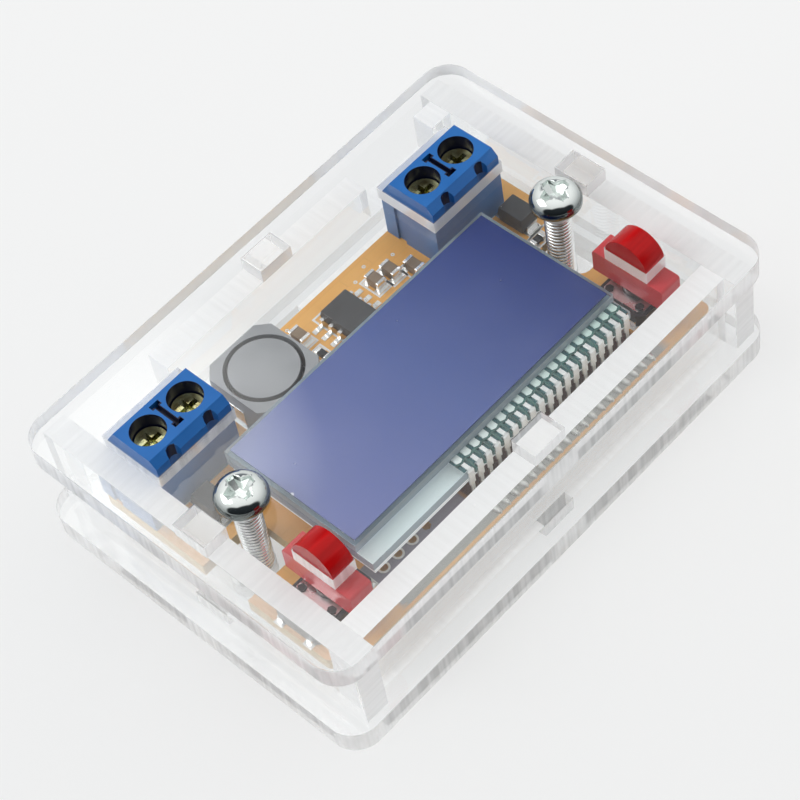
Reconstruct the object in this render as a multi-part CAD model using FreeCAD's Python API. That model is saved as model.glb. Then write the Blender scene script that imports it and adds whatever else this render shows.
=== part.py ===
import FreeCAD, Part
import math
import os

from FreeCAD import Vector

os.makedirs("parts", exist_ok=True)

# Cut sheet case: two plates and four walls, joined by tabs and two screws.
sheet = 2.8
plate_length = 62.0
plate_width = 43.2
plate_corner = 3.0
wall_height = 9.2
end_overhang = 2.25
side_overhang = 2.1
end_wall_inset = 0.7
tab_width = 4.1
tab_clearance = 0.08
tab_recess = 0.9
board_gap_end = 0.2
board_gap_back = 1.9
board_gap_front = 0.55
box_length = plate_length - 2 * end_overhang
box_width = plate_width - 2 * side_overhang
end_wall_length = plate_width - 2 * end_wall_inset
floor_top = sheet
lid_bottom = sheet + wall_height
case_height = wall_height + 2 * sheet
inner_x = box_length / 2 - sheet
inner_y = box_width / 2 - sheet
works_shift = Vector(0.35, 0.1, 0)

# Circuit board, lying on the tails of the terminal contacts.
board_thickness = 1.6
board_top = 6.5
board_corner = 0.8
board_bottom = board_top - board_thickness
board_end = inner_x - board_gap_end
board_back = inner_y - board_gap_back
board_front = board_gap_front - inner_y

# Screw terminals with two poles each.
terminal_length = 9.9
terminal_depth = 7.5
terminal_height = 9.9
terminal_chamfer = 0.8
terminal_slope_run = 1.6
terminal_slope_drop = 2.5
terminal_setback = 0.1
right_terminal_inset = 2.65
pole_pitch = 5.0
pole_setback = 4.0
terminal_clearance = 0.2
bore_radius = 1.85
bore_depth = 3.0
neck_radius = 1.3
neck_thickness = 0.5
cage_length = 3.9
cage_depth = 3.8
cage_height = 4.3
cage_wall = 0.5
cage_top = 0.8
cage_rest = 0.65
cage_play = 0.05
contact_wall = 0.8
bar_thickness = 0.6
bar_width = 2.2
bar_gap = 1.6
leg_width = 1.0
window_size = 3.4
window_sill = 0.1
driver_slot = 0.45
driver_slot_length = 3.3
driver_slot_depth = 0.9
driver_slot_end = 1.1
face_notch = 0.75
face_notch_depth = 3.6
joint_groove = 0.25
joint_groove_width = 1.1
terminal_screw_head = 1.7
terminal_screw_head_height = 1.25
terminal_screw_shank = 1.2
terminal_screw_tail = 0.3
terminal_recess = 2.3
terminal_recess_arm = 0.55
terminal_recess_depth = 0.8
terminal_back = board_back - terminal_setback
terminal_front = terminal_back - terminal_depth
pole_y = terminal_back - pole_setback
left_terminal_x = -board_end
right_terminal_x = board_end - right_terminal_inset - terminal_length
coil_room_start = left_terminal_x + terminal_length
coil_room = right_terminal_x - coil_room_start

# Wire windows in the back wall.
wire_window_height = 4.6
wire_window_margin = 0.15
wire_window_post = 0.1

# Push buttons: cut caps over low square switches.
button_inset = 3.42
button_from_wall = 5.4
cap_head_length = 5.16
cap_shoulder_length = 8.95
cap_shoulder_radius = 0.35
cap_arch = 1.95
cap_side_rise = 0.2
cap_play = 0.1
cap_lift = 0.2
cap_undersize = 0.04
switch_size = 6.0
switch_corner = 0.7
switch_base_height = 1.5
switch_cover_length = 5.1
switch_cover_sheet = 0.2
switch_cover_corner = 0.5
rivet_spread = 1.95
rivet_radius = 0.42
rivet_height = 0.16
plunger_radius = 1.45
plunger_flange = 1.75
plunger_height = 0.7
plunger_play = 0.05
well_radius = 1.95
well_floor = 0.4
dome_rise = 0.55
dome_sheet = 0.1
switch_leg_width = 0.7
switch_leg_reach = 0.38
switch_leg_height = 0.75
switch_leg_spread = 1.9
switch_leg_sheet = 0.2
cap_width = sheet - cap_undersize
button_x = board_end - button_inset
button_y = button_from_wall - inner_y
switch_base_top = board_top + switch_base_height
cap_bottom = switch_base_top + switch_cover_sheet + plunger_height

# Case screws and the open notches of the board round them.
screw_inset = 3.2
screw_y = -0.95
screw_radius = 1.45
screw_floor = 1.0
screw_head_radius = 2.72
screw_head_height = 1.9
screw_clearance = 0.15
thread_play = 0.05
recess_width = 3.1
recess_arm = 0.75
recess_depth = 1.25
notch_depth = 4.9
notch_beside_screw = 1.75
notch_from_switch = 3.0
notch_corner = 1.2
screw_x = board_end - screw_inset
screw_length = case_height - screw_floor
notch_back = screw_y + notch_beside_screw
notch_front = button_y + switch_size / 2 + notch_from_switch

# Display: two glass sheets with films, a light panel, foam pads and clip pins.
glass_left_gap = 6.6
glass_right_gap = 7.65
glass_back_gap = 1.8
glass_front_gap = 2.05
ledge_width = 2.1
glass_thickness = 1.1
film_thickness = 0.18
film_inset = 0.45
film_clearance = 0.1
panel_thickness = 0.85
panel_inset = 0.3
pad_length = 6.0
pad_width = 11.0
pin_count = 19
pin_pitch = 1.27
pin_from_end = 0.86
pin_sheet = 0.18
pin_play = 0.05
pin_shoulder = 0.8
pin_leg = 0.45
pin_pad_length = 0.95
pin_shoulder_drop = 2.3
pin_bend = 0.3
pin_tail = 1.3
pin_hole_play = 0.04
glass_left = glass_left_gap - board_end
glass_right = board_end - glass_right_gap
glass_back = terminal_front - glass_back_gap
glass_front = board_front + glass_front_gap
ledge_back = glass_front + ledge_width
film_top = lid_bottom - film_clearance
pin_centre_x = glass_right - pin_from_end - (pin_count - 1) / 2 * pin_pitch

# Open plated holes beside the display.
pad_hole_radius = 0.45
pad_hole_pitch = 2.0
pad_hole_count = 4
pad_hole_inset = 2.0
pad_hole_setback = 3.2

# Coil.
coil_share = 0.234
coil_length = 8.8
coil_width = 9.1
coil_height = 3.65
coil_corner = 1.25
coil_standoff = 0.25
coil_floor = 0.5
coil_bore = 4.15
drum_flange = 3.75
drum_neck = 1.9
drum_flange_height = 0.8
winding_gap = 0.25
winding_play = 0.02
clip_width = 2.6
clip_sheet = 0.2
clip_reach = 1.1
clip_height = 2.45
coil_x = coil_room_start + coil_share * coil_room
coil_y = terminal_back - coil_width / 2
coil_foot = board_top + coil_standoff
coil_top = coil_foot + coil_height

# Chips and small parts on the board.
chip_share = 0.627
chip_setback = 5.0
chip_length = 4.9
chip_width = 3.9
chip_height = 1.45
chip_standoff = 0.15
chip_taper = 0.12
lead_pitch = 1.27
lead_width = 0.42
lead_sheet = 0.2
lead_span = 6.0
lead_foot = 0.65
lead_knee = 0.3
controller_x = 1.5
controller_y = -4.0
controller_length = 6.5
controller_width = 4.4
controller_height = 1.0
controller_standoff = 0.1
controller_pitch = 0.65
controller_span = 6.4
controller_lead_width = 0.25
controller_lead_sheet = 0.15
controller_lead_count = 10
capacitor_length = 2.0
capacitor_width = 1.25
capacitor_height = 1.2
resistor_length = 1.6
resistor_width = 0.8
resistor_height = 0.45
end_band = 0.35
end_step = 0.03
side_room = terminal_front - notch_back
diode_share = 0.62
diode_length = 0.54 * side_room
diode_width = 2.6
diode_height = 2.1
diode_standoff = 0.1
diode_taper = 0.15
diode_inset = 3.25
diode_tab_width = 1.5
diode_tab_reach = 0.084 * side_room
diode_tab_height = 1.0
diode_tab_sheet = 0.22
solder_ring = 0.95
solder_rise = 1.1
pin_solder_ring = 0.5
pin_solder_rise = 0.6


def box(x0, x1, y0, y1, z0, z1):
    return Part.makeBox(x1 - x0, y1 - y0, z1 - z0, Vector(x0, y0, z0))


def block(centre_x, centre_y, length, width, z0, z1):
    return box(
        centre_x - length / 2, centre_x + length / 2, centre_y - width / 2, centre_y + width / 2, z0, z1
    )


def rod(x, y, radius, z0, z1):
    return Part.makeCylinder(radius, z1 - z0, Vector(x, y, z0))


def many_sided(x, y, radius, sides, z0, z1):
    """Upright prism with flat sides that touch the circle of that radius."""
    reach = radius / math.cos(math.pi / sides)
    corners = []
    for step in range(sides + 1):
        angle = (step + 0.5) * 2 * math.pi / sides
        corners.append(Vector(x + reach * math.cos(angle), y + reach * math.sin(angle), z0))
    return Part.Face(Part.makePolygon(corners)).extrude(Vector(0, 0, z1 - z0))


def vertical_edges(shape):
    found = []
    for edge in shape.Edges:
        first = edge.Vertexes[0].Point
        last = edge.Vertexes[-1].Point
        if abs(first.x - last.x) < 1e-6 and abs(first.y - last.y) < 1e-6 and abs(first.z - last.z) > 1e-6:
            found.append(edge)
    return found


def rounded(shape, radius):
    return shape.makeFillet(radius, vertical_edges(shape))


def side_profile(points, x0, x1):
    """Closed outline of (y, z) points, drawn out along x."""
    corners = [Vector(x0, y, z) for y, z in points]
    outline = Part.makePolygon(corners + [corners[0]])
    return Part.Face(outline).extrude(Vector(x1 - x0, 0, 0))


def turned(points, x, y):
    """Half outline of (radius, height) points, turned about a vertical axis."""
    corners = [Vector(r, 0, z) for r, z in points]
    face = Part.Face(Part.makePolygon(corners + [corners[0]]))
    solid = face.revolve(Vector(0, 0, 0), Vector(0, 0, 1), 360)
    solid.translate(Vector(x, y, 0))
    return solid


def row(shape, count, pitch):
    """Copies of one piece in a centred row along x."""
    copies = []
    for index in range(count):
        copy = shape.copy()
        copy.translate(Vector((index - (count - 1) / 2) * pitch, 0, 0))
        copies.append(copy)
    return copies


def mirrored(shape):
    return shape.mirror(Vector(0, 0, 0), Vector(1, 0, 0))


def moved(shape, x, y, z=0):
    copy = shape.copy()
    copy.translate(Vector(x, y, z))
    return copy


def save(name, *shapes):
    solid = shapes[0] if len(shapes) == 1 else Part.makeCompound(list(shapes))
    placed = solid.copy()
    placed.translate(works_shift)
    placed.exportStep("parts/" + name + ".step")


def cross_recess(width, arm, depth, top):
    """Tapered cross for a driver, open at the top."""
    wires = []
    for scale, z in ((1.0, top), (0.45, top - depth)):
        reach = width / 2 * scale
        half = arm / 2 * (0.5 + scale / 2)
        quarter = [(reach, -half), (reach, half), (half, half)]
        corners = []
        for turn in range(4):
            angle = turn * math.pi / 2
            for px, py in quarter:
                corners.append(
                    Vector(
                        px * math.cos(angle) - py * math.sin(angle),
                        px * math.sin(angle) + py * math.cos(angle),
                        z,
                    )
                )
        wires.append(Part.makePolygon(corners + [corners[0]]))
    return Part.makeLoft(wires, True, True)


def arched_outline(half, foot, shoulder, arch):
    """Wire in the y z plane: straight sides and a round top."""
    left = Vector(0, -half, foot)
    right = Vector(0, half, foot)
    left_top = Vector(0, -half, shoulder)
    right_top = Vector(0, half, shoulder)
    crown = Part.Arc(right_top, Vector(0, 0, shoulder + arch), left_top).toShape()
    edges = [
        Part.makeLine(left, right),
        Part.makeLine(right, right_top),
        crown,
        Part.makeLine(left_top, left),
    ]
    return Part.Wire(edges)


# Places where walls pass through the plates, shared by plates and walls.
half_box_x = box_length / 2
half_box_y = box_width / 2
end_tab_x = half_box_x - sheet / 2
side_tab_y = half_box_y - sheet / 2
tab_places = [(-end_tab_x, 0, True), (end_tab_x, 0, True), (0, -side_tab_y, False), (0, side_tab_y, False)]


def tab_slots(z0, z1):
    slots = []
    for x, y, along_y in tab_places:
        long_side = tab_width + 2 * tab_clearance
        short_side = sheet + 2 * tab_clearance
        length, width = (short_side, long_side) if along_y else (long_side, short_side)
        slots.append(block(x, y, length, width, z0, z1))
    return slots


def plate(z0):
    centre = Vector(0, 0, 0) - works_shift
    slab = rounded(block(centre.x, centre.y, plate_length, plate_width, z0, z0 + sheet), plate_corner)
    return slab.cut(tab_slots(z0 - 1, z0 + sheet + 1))


def bottom_plate():
    slab = plate(0)
    holes = [rod(side * screw_x, screw_y, screw_radius + thread_play, -1, sheet + 1) for side in (-1, 1)]
    return slab.cut(holes)


def top_plate():
    low = lid_bottom - 1
    high = case_height + 1
    openings = []
    for side in (-1, 1):
        openings.append(rod(side * screw_x, screw_y, screw_radius + screw_clearance, low, high))
        across = cap_width + 2 * cap_play
        openings.append(block(side * button_x, button_y, across, cap_head_length + 2 * cap_play, low, high))
    for x in (left_terminal_x, right_terminal_x):
        openings.append(
            box(
                x - terminal_clearance,
                x + terminal_length + terminal_clearance,
                terminal_front - terminal_clearance,
                terminal_back + terminal_clearance,
                low,
                high,
            )
        )
    return plate(lid_bottom).cut(openings)


def end_wall(side):
    x0 = side * end_tab_x - sheet / 2
    wall = box(x0, x0 + sheet, -end_wall_length / 2, end_wall_length / 2, floor_top, lid_bottom)
    tab = box(x0, x0 + sheet, -tab_width / 2, tab_width / 2, 0, case_height)
    return wall.fuse(tab).removeSplitter()


def side_wall(side, top_recess):
    y0 = side * side_tab_y - sheet / 2
    reach = half_box_x - sheet
    wall = box(-reach, reach, y0, y0 + sheet, floor_top, lid_bottom)
    tab = box(-tab_width / 2, tab_width / 2, y0, y0 + sheet, 0, case_height - top_recess)
    wall = wall.fuse(tab).removeSplitter()
    if side < 0:
        return wall
    windows = []
    for x in (left_terminal_x, right_terminal_x):
        window = box(
            max(x - wire_window_margin, wire_window_post - reach),
            x + terminal_length + wire_window_margin,
            y0 - 1,
            y0 + sheet + 1,
            lid_bottom - wire_window_height,
            lid_bottom + 1,
        )
        windows.append(window)
    return wall.cut(windows)


def case_screw(x):
    head = [(0, 0), (screw_head_radius, 0)]
    for share_r, share_z in ((1.0, 0.35), (0.66, 0.95), (0, 1.0)):
        head.append((screw_head_radius * share_r, screw_head_height * share_z))
    shank = [
        (0, -screw_length),
        (screw_radius, -screw_length),
        (screw_radius, 0),
        (0, 0),
    ]
    screw = turned(head, 0, 0).fuse(turned(shank, 0, 0)).removeSplitter()
    screw = screw.cut(cross_recess(recess_width, recess_arm, recess_depth, screw_head_height))
    return moved(screw, x, screw_y, case_height)


def pole_places():
    places = []
    for x in (left_terminal_x, right_terminal_x):
        middle = x + terminal_length / 2
        places.append(middle - pole_pitch / 2)
        places.append(middle + pole_pitch / 2)
    return places


contact_y0 = pole_y - cage_depth / 2 - cage_play - contact_wall
contact_y1 = contact_y0 + bar_thickness
pin_y1 = glass_front - pin_play
pin_y0 = pin_y1 - pin_sheet


def pin_places():
    return [pin_centre_x + (index - (pin_count - 1) / 2) * pin_pitch for index in range(pin_count)]


def drilled(x, y, radius):
    """Small plated hole through the board."""
    return many_sided(x, y, radius, 6, board_bottom - 1, board_top + 1)


def circuit_board():
    board = rounded(box(-board_end, board_end, board_front, board_back, board_bottom, board_top), board_corner)
    cuts = []
    notch = box(board_end - notch_depth, board_end + notch_depth, notch_front, notch_back, 0, case_height)
    notch = rounded(notch, notch_corner)
    cuts.extend([notch, mirrored(notch)])
    leg_middle = (contact_y0 + contact_y1) / 2
    leg_hole = math.hypot(leg_width, bar_thickness) / 2 + pin_hole_play
    for x in pole_places():
        cuts.append(drilled(x, leg_middle, leg_hole))
    pin_middle = (pin_y0 + pin_y1) / 2
    pin_hole = math.hypot(pin_leg, pin_sheet) / 2 + pin_hole_play
    for x in pin_places():
        cuts.append(drilled(x, pin_middle, pin_hole))
    for index in range(pad_hole_count):
        x = glass_left + pad_hole_inset + index * pad_hole_pitch
        cuts.append(drilled(x, board_front + pad_hole_setback, pad_hole_radius))
    return board.cut(cuts)


front_glass_top = film_top - film_thickness
front_glass_bottom = front_glass_top - glass_thickness
rear_glass_bottom = front_glass_bottom - glass_thickness
rear_film_bottom = rear_glass_bottom - film_thickness
panel_bottom = rear_film_bottom - panel_thickness


def glass_sheet(front, z0, thickness, inset):
    return box(glass_left + inset, glass_right - inset, front + inset, glass_back - inset, z0, z0 + thickness)


def foam_pads():
    middle = (glass_left + glass_right) / 2
    spread = (glass_right - glass_left) / 2 - pad_length
    y = (glass_front + glass_back) / 2
    width = min(pad_width, glass_back - ledge_back)
    return [block(middle + side * spread, y, pad_length, width, board_top, panel_bottom) for side in (-1, 1)]


def display_pin():
    """Clip pin: contact on the ledge, bent over the glass edge, leg in the board."""
    top = front_glass_bottom + pin_sheet
    inner = ledge_back - pin_play
    shoulder_bottom = top - pin_shoulder_drop
    section = [
        (inner, front_glass_bottom),
        (inner, top),
        (pin_y0 + pin_bend, top),
        (pin_y0, top - pin_bend),
        (pin_y0, shoulder_bottom),
        (pin_y1, shoulder_bottom),
        (pin_y1, front_glass_bottom),
    ]
    strip = side_profile(section, -pin_shoulder / 2, pin_shoulder / 2)
    waist_back = inner - pin_pad_length
    for side in (-1, 1):
        x0, x1 = sorted((side * pin_leg / 2, side * pin_shoulder))
        strip = strip.cut(box(x0, x1, pin_y1, waist_back, 0, case_height))
    leg = block(0, (pin_y0 + pin_y1) / 2, pin_leg, pin_sheet, board_bottom - pin_tail, shoulder_bottom)
    return strip.fuse(leg).removeSplitter()


def display_pins():
    return row(moved(display_pin(), pin_centre_x, 0), pin_count, pin_pitch)


terminal_top = board_top + terminal_height
neck_top = terminal_top - bore_depth
neck_bottom = neck_top - neck_thickness
cage_bottom = board_top + cage_rest
passage_bottom = cage_bottom + cage_wall
bar_bottom = passage_bottom + bar_gap


def terminal_housing(x):
    profile = [
        (terminal_front, board_top),
        (terminal_front, terminal_top - terminal_chamfer),
        (terminal_front + terminal_chamfer, terminal_top),
        (terminal_back - terminal_slope_run, terminal_top),
        (terminal_back, terminal_top - terminal_slope_drop),
        (terminal_back, board_top),
    ]
    body = side_profile(profile, x, x + terminal_length)
    middle = x + terminal_length / 2
    half_cage_x = cage_length / 2 + cage_play
    half_cage_y = cage_depth / 2 + cage_play
    cuts = []
    for pole in (middle - pole_pitch / 2, middle + pole_pitch / 2):
        cuts.append(rod(pole, pole_y, bore_radius, neck_top, terminal_top + 1))
        cuts.append(rod(pole, pole_y, neck_radius, neck_bottom - 1, neck_top + 1))
        cuts.append(
            box(
                pole - half_cage_x,
                pole + half_cage_x,
                pole_y - half_cage_y,
                pole_y + half_cage_y,
                board_top - 1,
                neck_bottom,
            )
        )
        cuts.append(
            box(
                pole - bar_width / 2 - cage_play,
                pole + bar_width / 2 + cage_play,
                contact_y0 - cage_play,
                pole_y,
                board_top - 1,
                bar_bottom + bar_thickness + cage_play,
            )
        )
        sill = passage_bottom - window_sill
        cuts.append(
            box(
                pole - window_size / 2,
                pole + window_size / 2,
                pole_y,
                terminal_back + 1,
                sill,
                sill + window_size,
            )
        )
        cuts.append(rod(pole, terminal_front, face_notch, terminal_top - face_notch_depth, terminal_top + 1))
    slot_low = terminal_top - driver_slot_depth
    cuts.append(block(middle, pole_y, driver_slot, driver_slot_length, slot_low, terminal_top + 1))
    for end in (-1, 1):
        y = pole_y + end * driver_slot_length / 2
        cuts.append(block(middle, y, driver_slot_end, driver_slot, slot_low, terminal_top + 1))
        groove_x = middle + end * terminal_length / 2
        groove_y = terminal_back - 2 * joint_groove_width
        cuts.append(
            block(
                groove_x,
                groove_y,
                2 * joint_groove,
                joint_groove_width,
                board_top - 1,
                terminal_top - face_notch_depth,
            )
        )
    return body.cut(cuts)


def clamp_cage(pole):
    outer = block(pole, pole_y, cage_length, cage_depth, cage_bottom, cage_bottom + cage_height)
    passage = block(
        pole,
        pole_y,
        cage_length - 2 * cage_wall,
        cage_depth + 2,
        passage_bottom,
        cage_bottom + cage_height - cage_top,
    )
    middle = cage_bottom + cage_height / 2
    thread = rod(pole, pole_y, terminal_screw_shank + thread_play, middle, terminal_top)
    return outer.cut([passage, thread])


def terminal_screw(pole):
    head_top = neck_top + terminal_screw_head_height
    shank_bottom = bar_bottom + bar_thickness + terminal_screw_tail
    profile = [
        (0, shank_bottom),
        (terminal_screw_shank, shank_bottom),
        (terminal_screw_shank, neck_top),
        (terminal_screw_head, neck_top),
        (terminal_screw_head, head_top),
        (0, head_top),
    ]
    screw = turned(profile, 0, 0)
    screw = screw.cut(cross_recess(terminal_recess, terminal_recess_arm, terminal_recess_depth, head_top))
    return moved(screw, pole, pole_y)


def terminal_contact(pole):
    bar = box(
        pole - bar_width / 2,
        pole + bar_width / 2,
        contact_y0,
        pole_y + cage_depth / 2,
        bar_bottom,
        bar_bottom + bar_thickness,
    )
    leg = box(pole - leg_width / 2, pole + leg_width / 2, contact_y0, contact_y1, floor_top, bar_bottom)
    return bar.fuse(leg).removeSplitter()


def solder_fillet(x, y, ring, rise, leg_x, leg_y):
    """Tapered drop of solder under the board, round a leg."""
    drop = many_sided(x, y, ring, 4, board_bottom - rise, board_bottom)
    foot = [edge for edge in drop.Edges if edge.BoundBox.ZMax < board_bottom - rise / 2]
    drop = drop.makeChamfer(ring * 0.45, foot)
    return drop.cut(block(x, y, leg_x, leg_y, board_bottom - 2 * rise, board_bottom + 1))


def solder_joints():
    joints = []
    leg_middle = (contact_y0 + contact_y1) / 2
    for x in pole_places():
        joints.append(solder_fillet(x, leg_middle, solder_ring, solder_rise, leg_width, bar_thickness))
    pin_middle = (pin_y0 + pin_y1) / 2
    for x in pin_places():
        joints.append(solder_fillet(x, pin_middle, pin_solder_ring, pin_solder_rise, pin_leg, pin_sheet))
    return joints


dome_foot = board_top + well_floor
dome_top = dome_foot + dome_rise


cover_top = switch_base_top + switch_cover_sheet
rivet_top = cover_top + rivet_height


def rivet_places():
    return [(dx * rivet_spread, dy * rivet_spread) for dx in (-1, 1) for dy in (-1, 1)]


def switch_base():
    """Moulded base with a well for the disc and four posts that hold the cover."""
    base = block(0, 0, switch_size, switch_size, board_top, switch_base_top)
    base = base.makeChamfer(switch_corner, vertical_edges(base))
    base = base.cut(rod(0, 0, well_radius, dome_foot, case_height))
    posts = [many_sided(x, y, rivet_radius, 6, dome_foot, rivet_top) for x, y in rivet_places()]
    return base.multiFuse(posts).removeSplitter()


def switch_cover():
    length = switch_cover_length
    cover = block(0, 0, length, length, switch_base_top, cover_top)
    cover = cover.makeChamfer(switch_cover_corner, vertical_edges(cover))
    cuts = [rod(0, 0, plunger_radius + plunger_play, 0, case_height)]
    cuts.extend(many_sided(x, y, rivet_radius, 6, 0, case_height) for x, y in rivet_places())
    return cover.cut(cuts)


def switch_plunger():
    profile = [
        (0, dome_top),
        (plunger_flange, dome_top + dome_sheet),
        (plunger_flange, switch_base_top - plunger_play),
        (plunger_radius, switch_base_top - plunger_play),
        (plunger_radius, cap_bottom),
        (0, cap_bottom),
    ]
    return turned(profile, 0, 0)


def switch_dome():
    """Thin snap disc, hollow below."""
    radius = well_radius - dome_sheet
    hollow = radius - 2 * dome_sheet
    profile = [(radius, dome_foot), (0, dome_top), (0, dome_top - dome_sheet), (hollow, dome_foot)]
    return turned(profile, 0, 0)


def switch_legs():
    legs = []
    reach = switch_size / 2
    for side in (-1, 1):
        for y in (-switch_leg_spread, switch_leg_spread):
            x0, x1 = sorted((side * reach, side * (reach + switch_leg_reach)))
            y0 = y - switch_leg_width / 2
            leg = box(x0, x1, y0, y0 + switch_leg_width, board_top, board_top + switch_leg_height)
            x0, x1 = sorted((side * (reach + switch_leg_sheet), side * (reach + 1)))
            cut = box(x0, x1, y0 - 1, y0 + switch_leg_width + 1, board_top + switch_leg_sheet, case_height)
            legs.append(leg.cut(cut))
    return legs


def button_cap():
    """One piece of cut sheet: shoulders under the lid and an arched head through it."""
    x0 = -cap_width / 2
    shoulder_top = lid_bottom - cap_lift
    head = Part.Face(
        arched_outline(cap_head_length / 2, cap_bottom, case_height + cap_side_rise, cap_arch)
    ).extrude(Vector(cap_width, 0, 0))
    head.translate(Vector(x0, 0, 0))
    half = cap_shoulder_length / 2
    shoulders = box(x0, -x0, -half, half, cap_bottom, shoulder_top)
    upper = []
    for edge in shoulders.Edges:
        first = edge.Vertexes[0].Point
        last = edge.Vertexes[-1].Point
        along_x = abs(first.y - last.y) < 1e-6 and abs(first.z - last.z) < 1e-6
        if along_x and first.z > shoulder_top - 1e-6:
            upper.append(edge)
    shoulders = shoulders.makeFillet(cap_shoulder_radius, upper)
    return head.fuse(shoulders).removeSplitter()


def inductor_shell():
    shell = block(coil_x, coil_y, coil_length, coil_width, coil_foot, coil_top)
    shell = shell.makeChamfer(coil_corner, vertical_edges(shell))
    return shell.cut(rod(coil_x, coil_y, coil_bore, coil_foot + coil_floor, coil_top + 1))


def inductor_core():
    foot = coil_foot + coil_floor
    profile = [
        (0, foot),
        (drum_flange, foot),
        (drum_flange, foot + drum_flange_height),
        (drum_neck, foot + drum_flange_height),
        (drum_neck, coil_top - drum_flange_height),
        (drum_flange, coil_top - drum_flange_height),
        (drum_flange, coil_top),
        (0, coil_top),
    ]
    return turned(profile, coil_x, coil_y)


def inductor_winding():
    low = coil_foot + coil_floor + drum_flange_height + winding_play
    high = coil_top - drum_flange_height - winding_play
    inner = drum_neck + winding_play
    outer = drum_flange - winding_gap
    profile = [(inner, low), (outer, low), (outer, high), (inner, high)]
    return turned(profile, coil_x, coil_y)


def inductor_clips():
    clips = []
    for side in (-1, 1):
        edge = coil_x + side * coil_length / 2
        y0 = coil_y - clip_width / 2
        x0, x1 = sorted((edge - side * clip_reach, edge + side * clip_sheet))
        foot = box(x0, x1, y0, y0 + clip_width, board_top, coil_foot)
        x0, x1 = sorted((edge, edge + side * clip_sheet))
        upright = box(x0, x1, y0, y0 + clip_width, board_top, board_top + clip_height)
        clips.append(foot.fuse(upright).removeSplitter())
    return clips


def gull_lead(reach, body, exit_z, width, thickness):
    """Lead in the x z plane from the board at z 0, bent twice, drawn out along y."""
    knee = body + lead_knee
    heel = max(reach - lead_foot, knee + thickness / 4)
    points = [
        (body, exit_z),
        (knee, exit_z),
        (heel, 0),
        (reach, 0),
        (reach, thickness),
        (heel + thickness * 0.7, thickness),
        (knee + thickness * 0.5, exit_z + thickness),
        (body, exit_z + thickness),
    ]
    corners = [Vector(x, -width / 2, z) for x, z in points]
    return Part.Face(Part.makePolygon(corners + [corners[0]])).extrude(Vector(0, width, 0))


def moulded_body(length_x, length_y, z0, z1, taper):
    """Chip body drawn in toward its top and its foot from the parting line."""
    middle = (z0 + z1) / 2
    halves = []
    for a, b in ((middle, z0), (middle, z1)):
        wires = []
        for z, inset in ((a, 0), (b, taper)):
            hx = length_x / 2 - inset
            hy = length_y / 2 - inset
            corners = [Vector(-hx, -hy, z), Vector(hx, -hy, z), Vector(hx, hy, z), Vector(-hx, hy, z)]
            wires.append(Part.makePolygon(corners + [corners[0]]))
        halves.append(Part.makeLoft(wires, True, True))
    return halves[0].fuse(halves[1]).removeSplitter()


def converter_place():
    return coil_room_start + chip_share * coil_room, terminal_back - chip_setback


def converter_chip():
    foot = board_top + chip_standoff
    x, y = converter_place()
    return moved(moulded_body(chip_width, chip_length, foot, foot + chip_height, chip_taper), x, y)


def lead_rows(lead, count, pitch, x, y, z):
    leads = []
    for index in range(count):
        place = y + (index - (count - 1) / 2) * pitch
        leads.append(moved(lead, x, place, z))
        leads.append(moved(mirrored(lead), x, place, z))
    return leads


def converter_leads():
    exit_height = chip_standoff + (chip_height - lead_sheet) / 2
    lead = gull_lead(lead_span / 2, chip_width / 2, exit_height, lead_width, lead_sheet)
    x, y = converter_place()
    return lead_rows(lead, 4, lead_pitch, x, y, board_top)


def controller_chip():
    top = board_bottom - controller_standoff
    body = moulded_body(controller_width, controller_length, top - controller_height, top, chip_taper)
    return moved(body, controller_x, controller_y)


def controller_leads_set():
    """Leads of the chip that hangs under the board, so they bend upward."""
    exit_height = controller_standoff + controller_height / 2
    sheet_width = controller_lead_width
    lead = gull_lead(
        controller_span / 2, controller_width / 2, exit_height, sheet_width, controller_lead_sheet
    )
    lead = lead.mirror(Vector(0, 0, 0), Vector(0, 0, 1))
    return lead_rows(lead, controller_lead_count, controller_pitch, controller_x, controller_y, board_bottom)


def small_part(size, x, y, along_y):
    """Chip part: its middle, and the two metal ends that wrap it."""
    length, width, height = size
    top = board_top + height
    whole = block(0, 0, length, width, board_top, top)
    inside = length - 2 * end_band
    middle = block(0, 0, inside, width - 2 * end_step, board_top + end_step, top - end_step)
    ends = whole.cut(block(0, 0, inside, 2 * width, board_top - 1, top + 1))
    pieces = []
    for piece in (middle, ends):
        if along_y:
            piece.rotate(Vector(0, 0, 0), Vector(0, 0, 1), 90)
        pieces.append(moved(piece, x, y))
    return pieces


# Shares of the room between the terminals, along x and forward from their back.
capacitor_places = [(0.8, 0.507, True), (0.866, 0.547, True), (0.931, 0.76, True)]
resistor_places = [(0.785, 0.973, False)]


def room_places(places):
    found = []
    for across, forward, along_y in places:
        found.append((coil_room_start + across * coil_room, terminal_back - forward * terminal_depth, along_y))
    return found


def beside_chip(forward):
    """Place half-way between the coil and the chip's leads."""
    chip_x, _ = converter_place()
    coil_side = coil_x + coil_length / 2 + clip_sheet
    return (coil_side + chip_x - lead_span / 2) / 2, terminal_back - forward * terminal_depth, True


def edge_places():
    right = board_end - diode_inset - resistor_width
    left = diode_inset + diode_width - board_end
    return [(right, notch_back + 0.1 * side_room, False), (left, notch_back + 0.3 * side_room, True)]


def part_set(size, places):
    middles = []
    ends = []
    for x, y, along_y in places:
        middle, tips = small_part(size, x, y, along_y)
        middles.append(middle)
        ends.extend(tips.Solids)
    return middles, ends


def diode_body():
    top = board_top + diode_height
    return moulded_body(diode_width, diode_length, board_top + diode_standoff, top, diode_taper)


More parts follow.
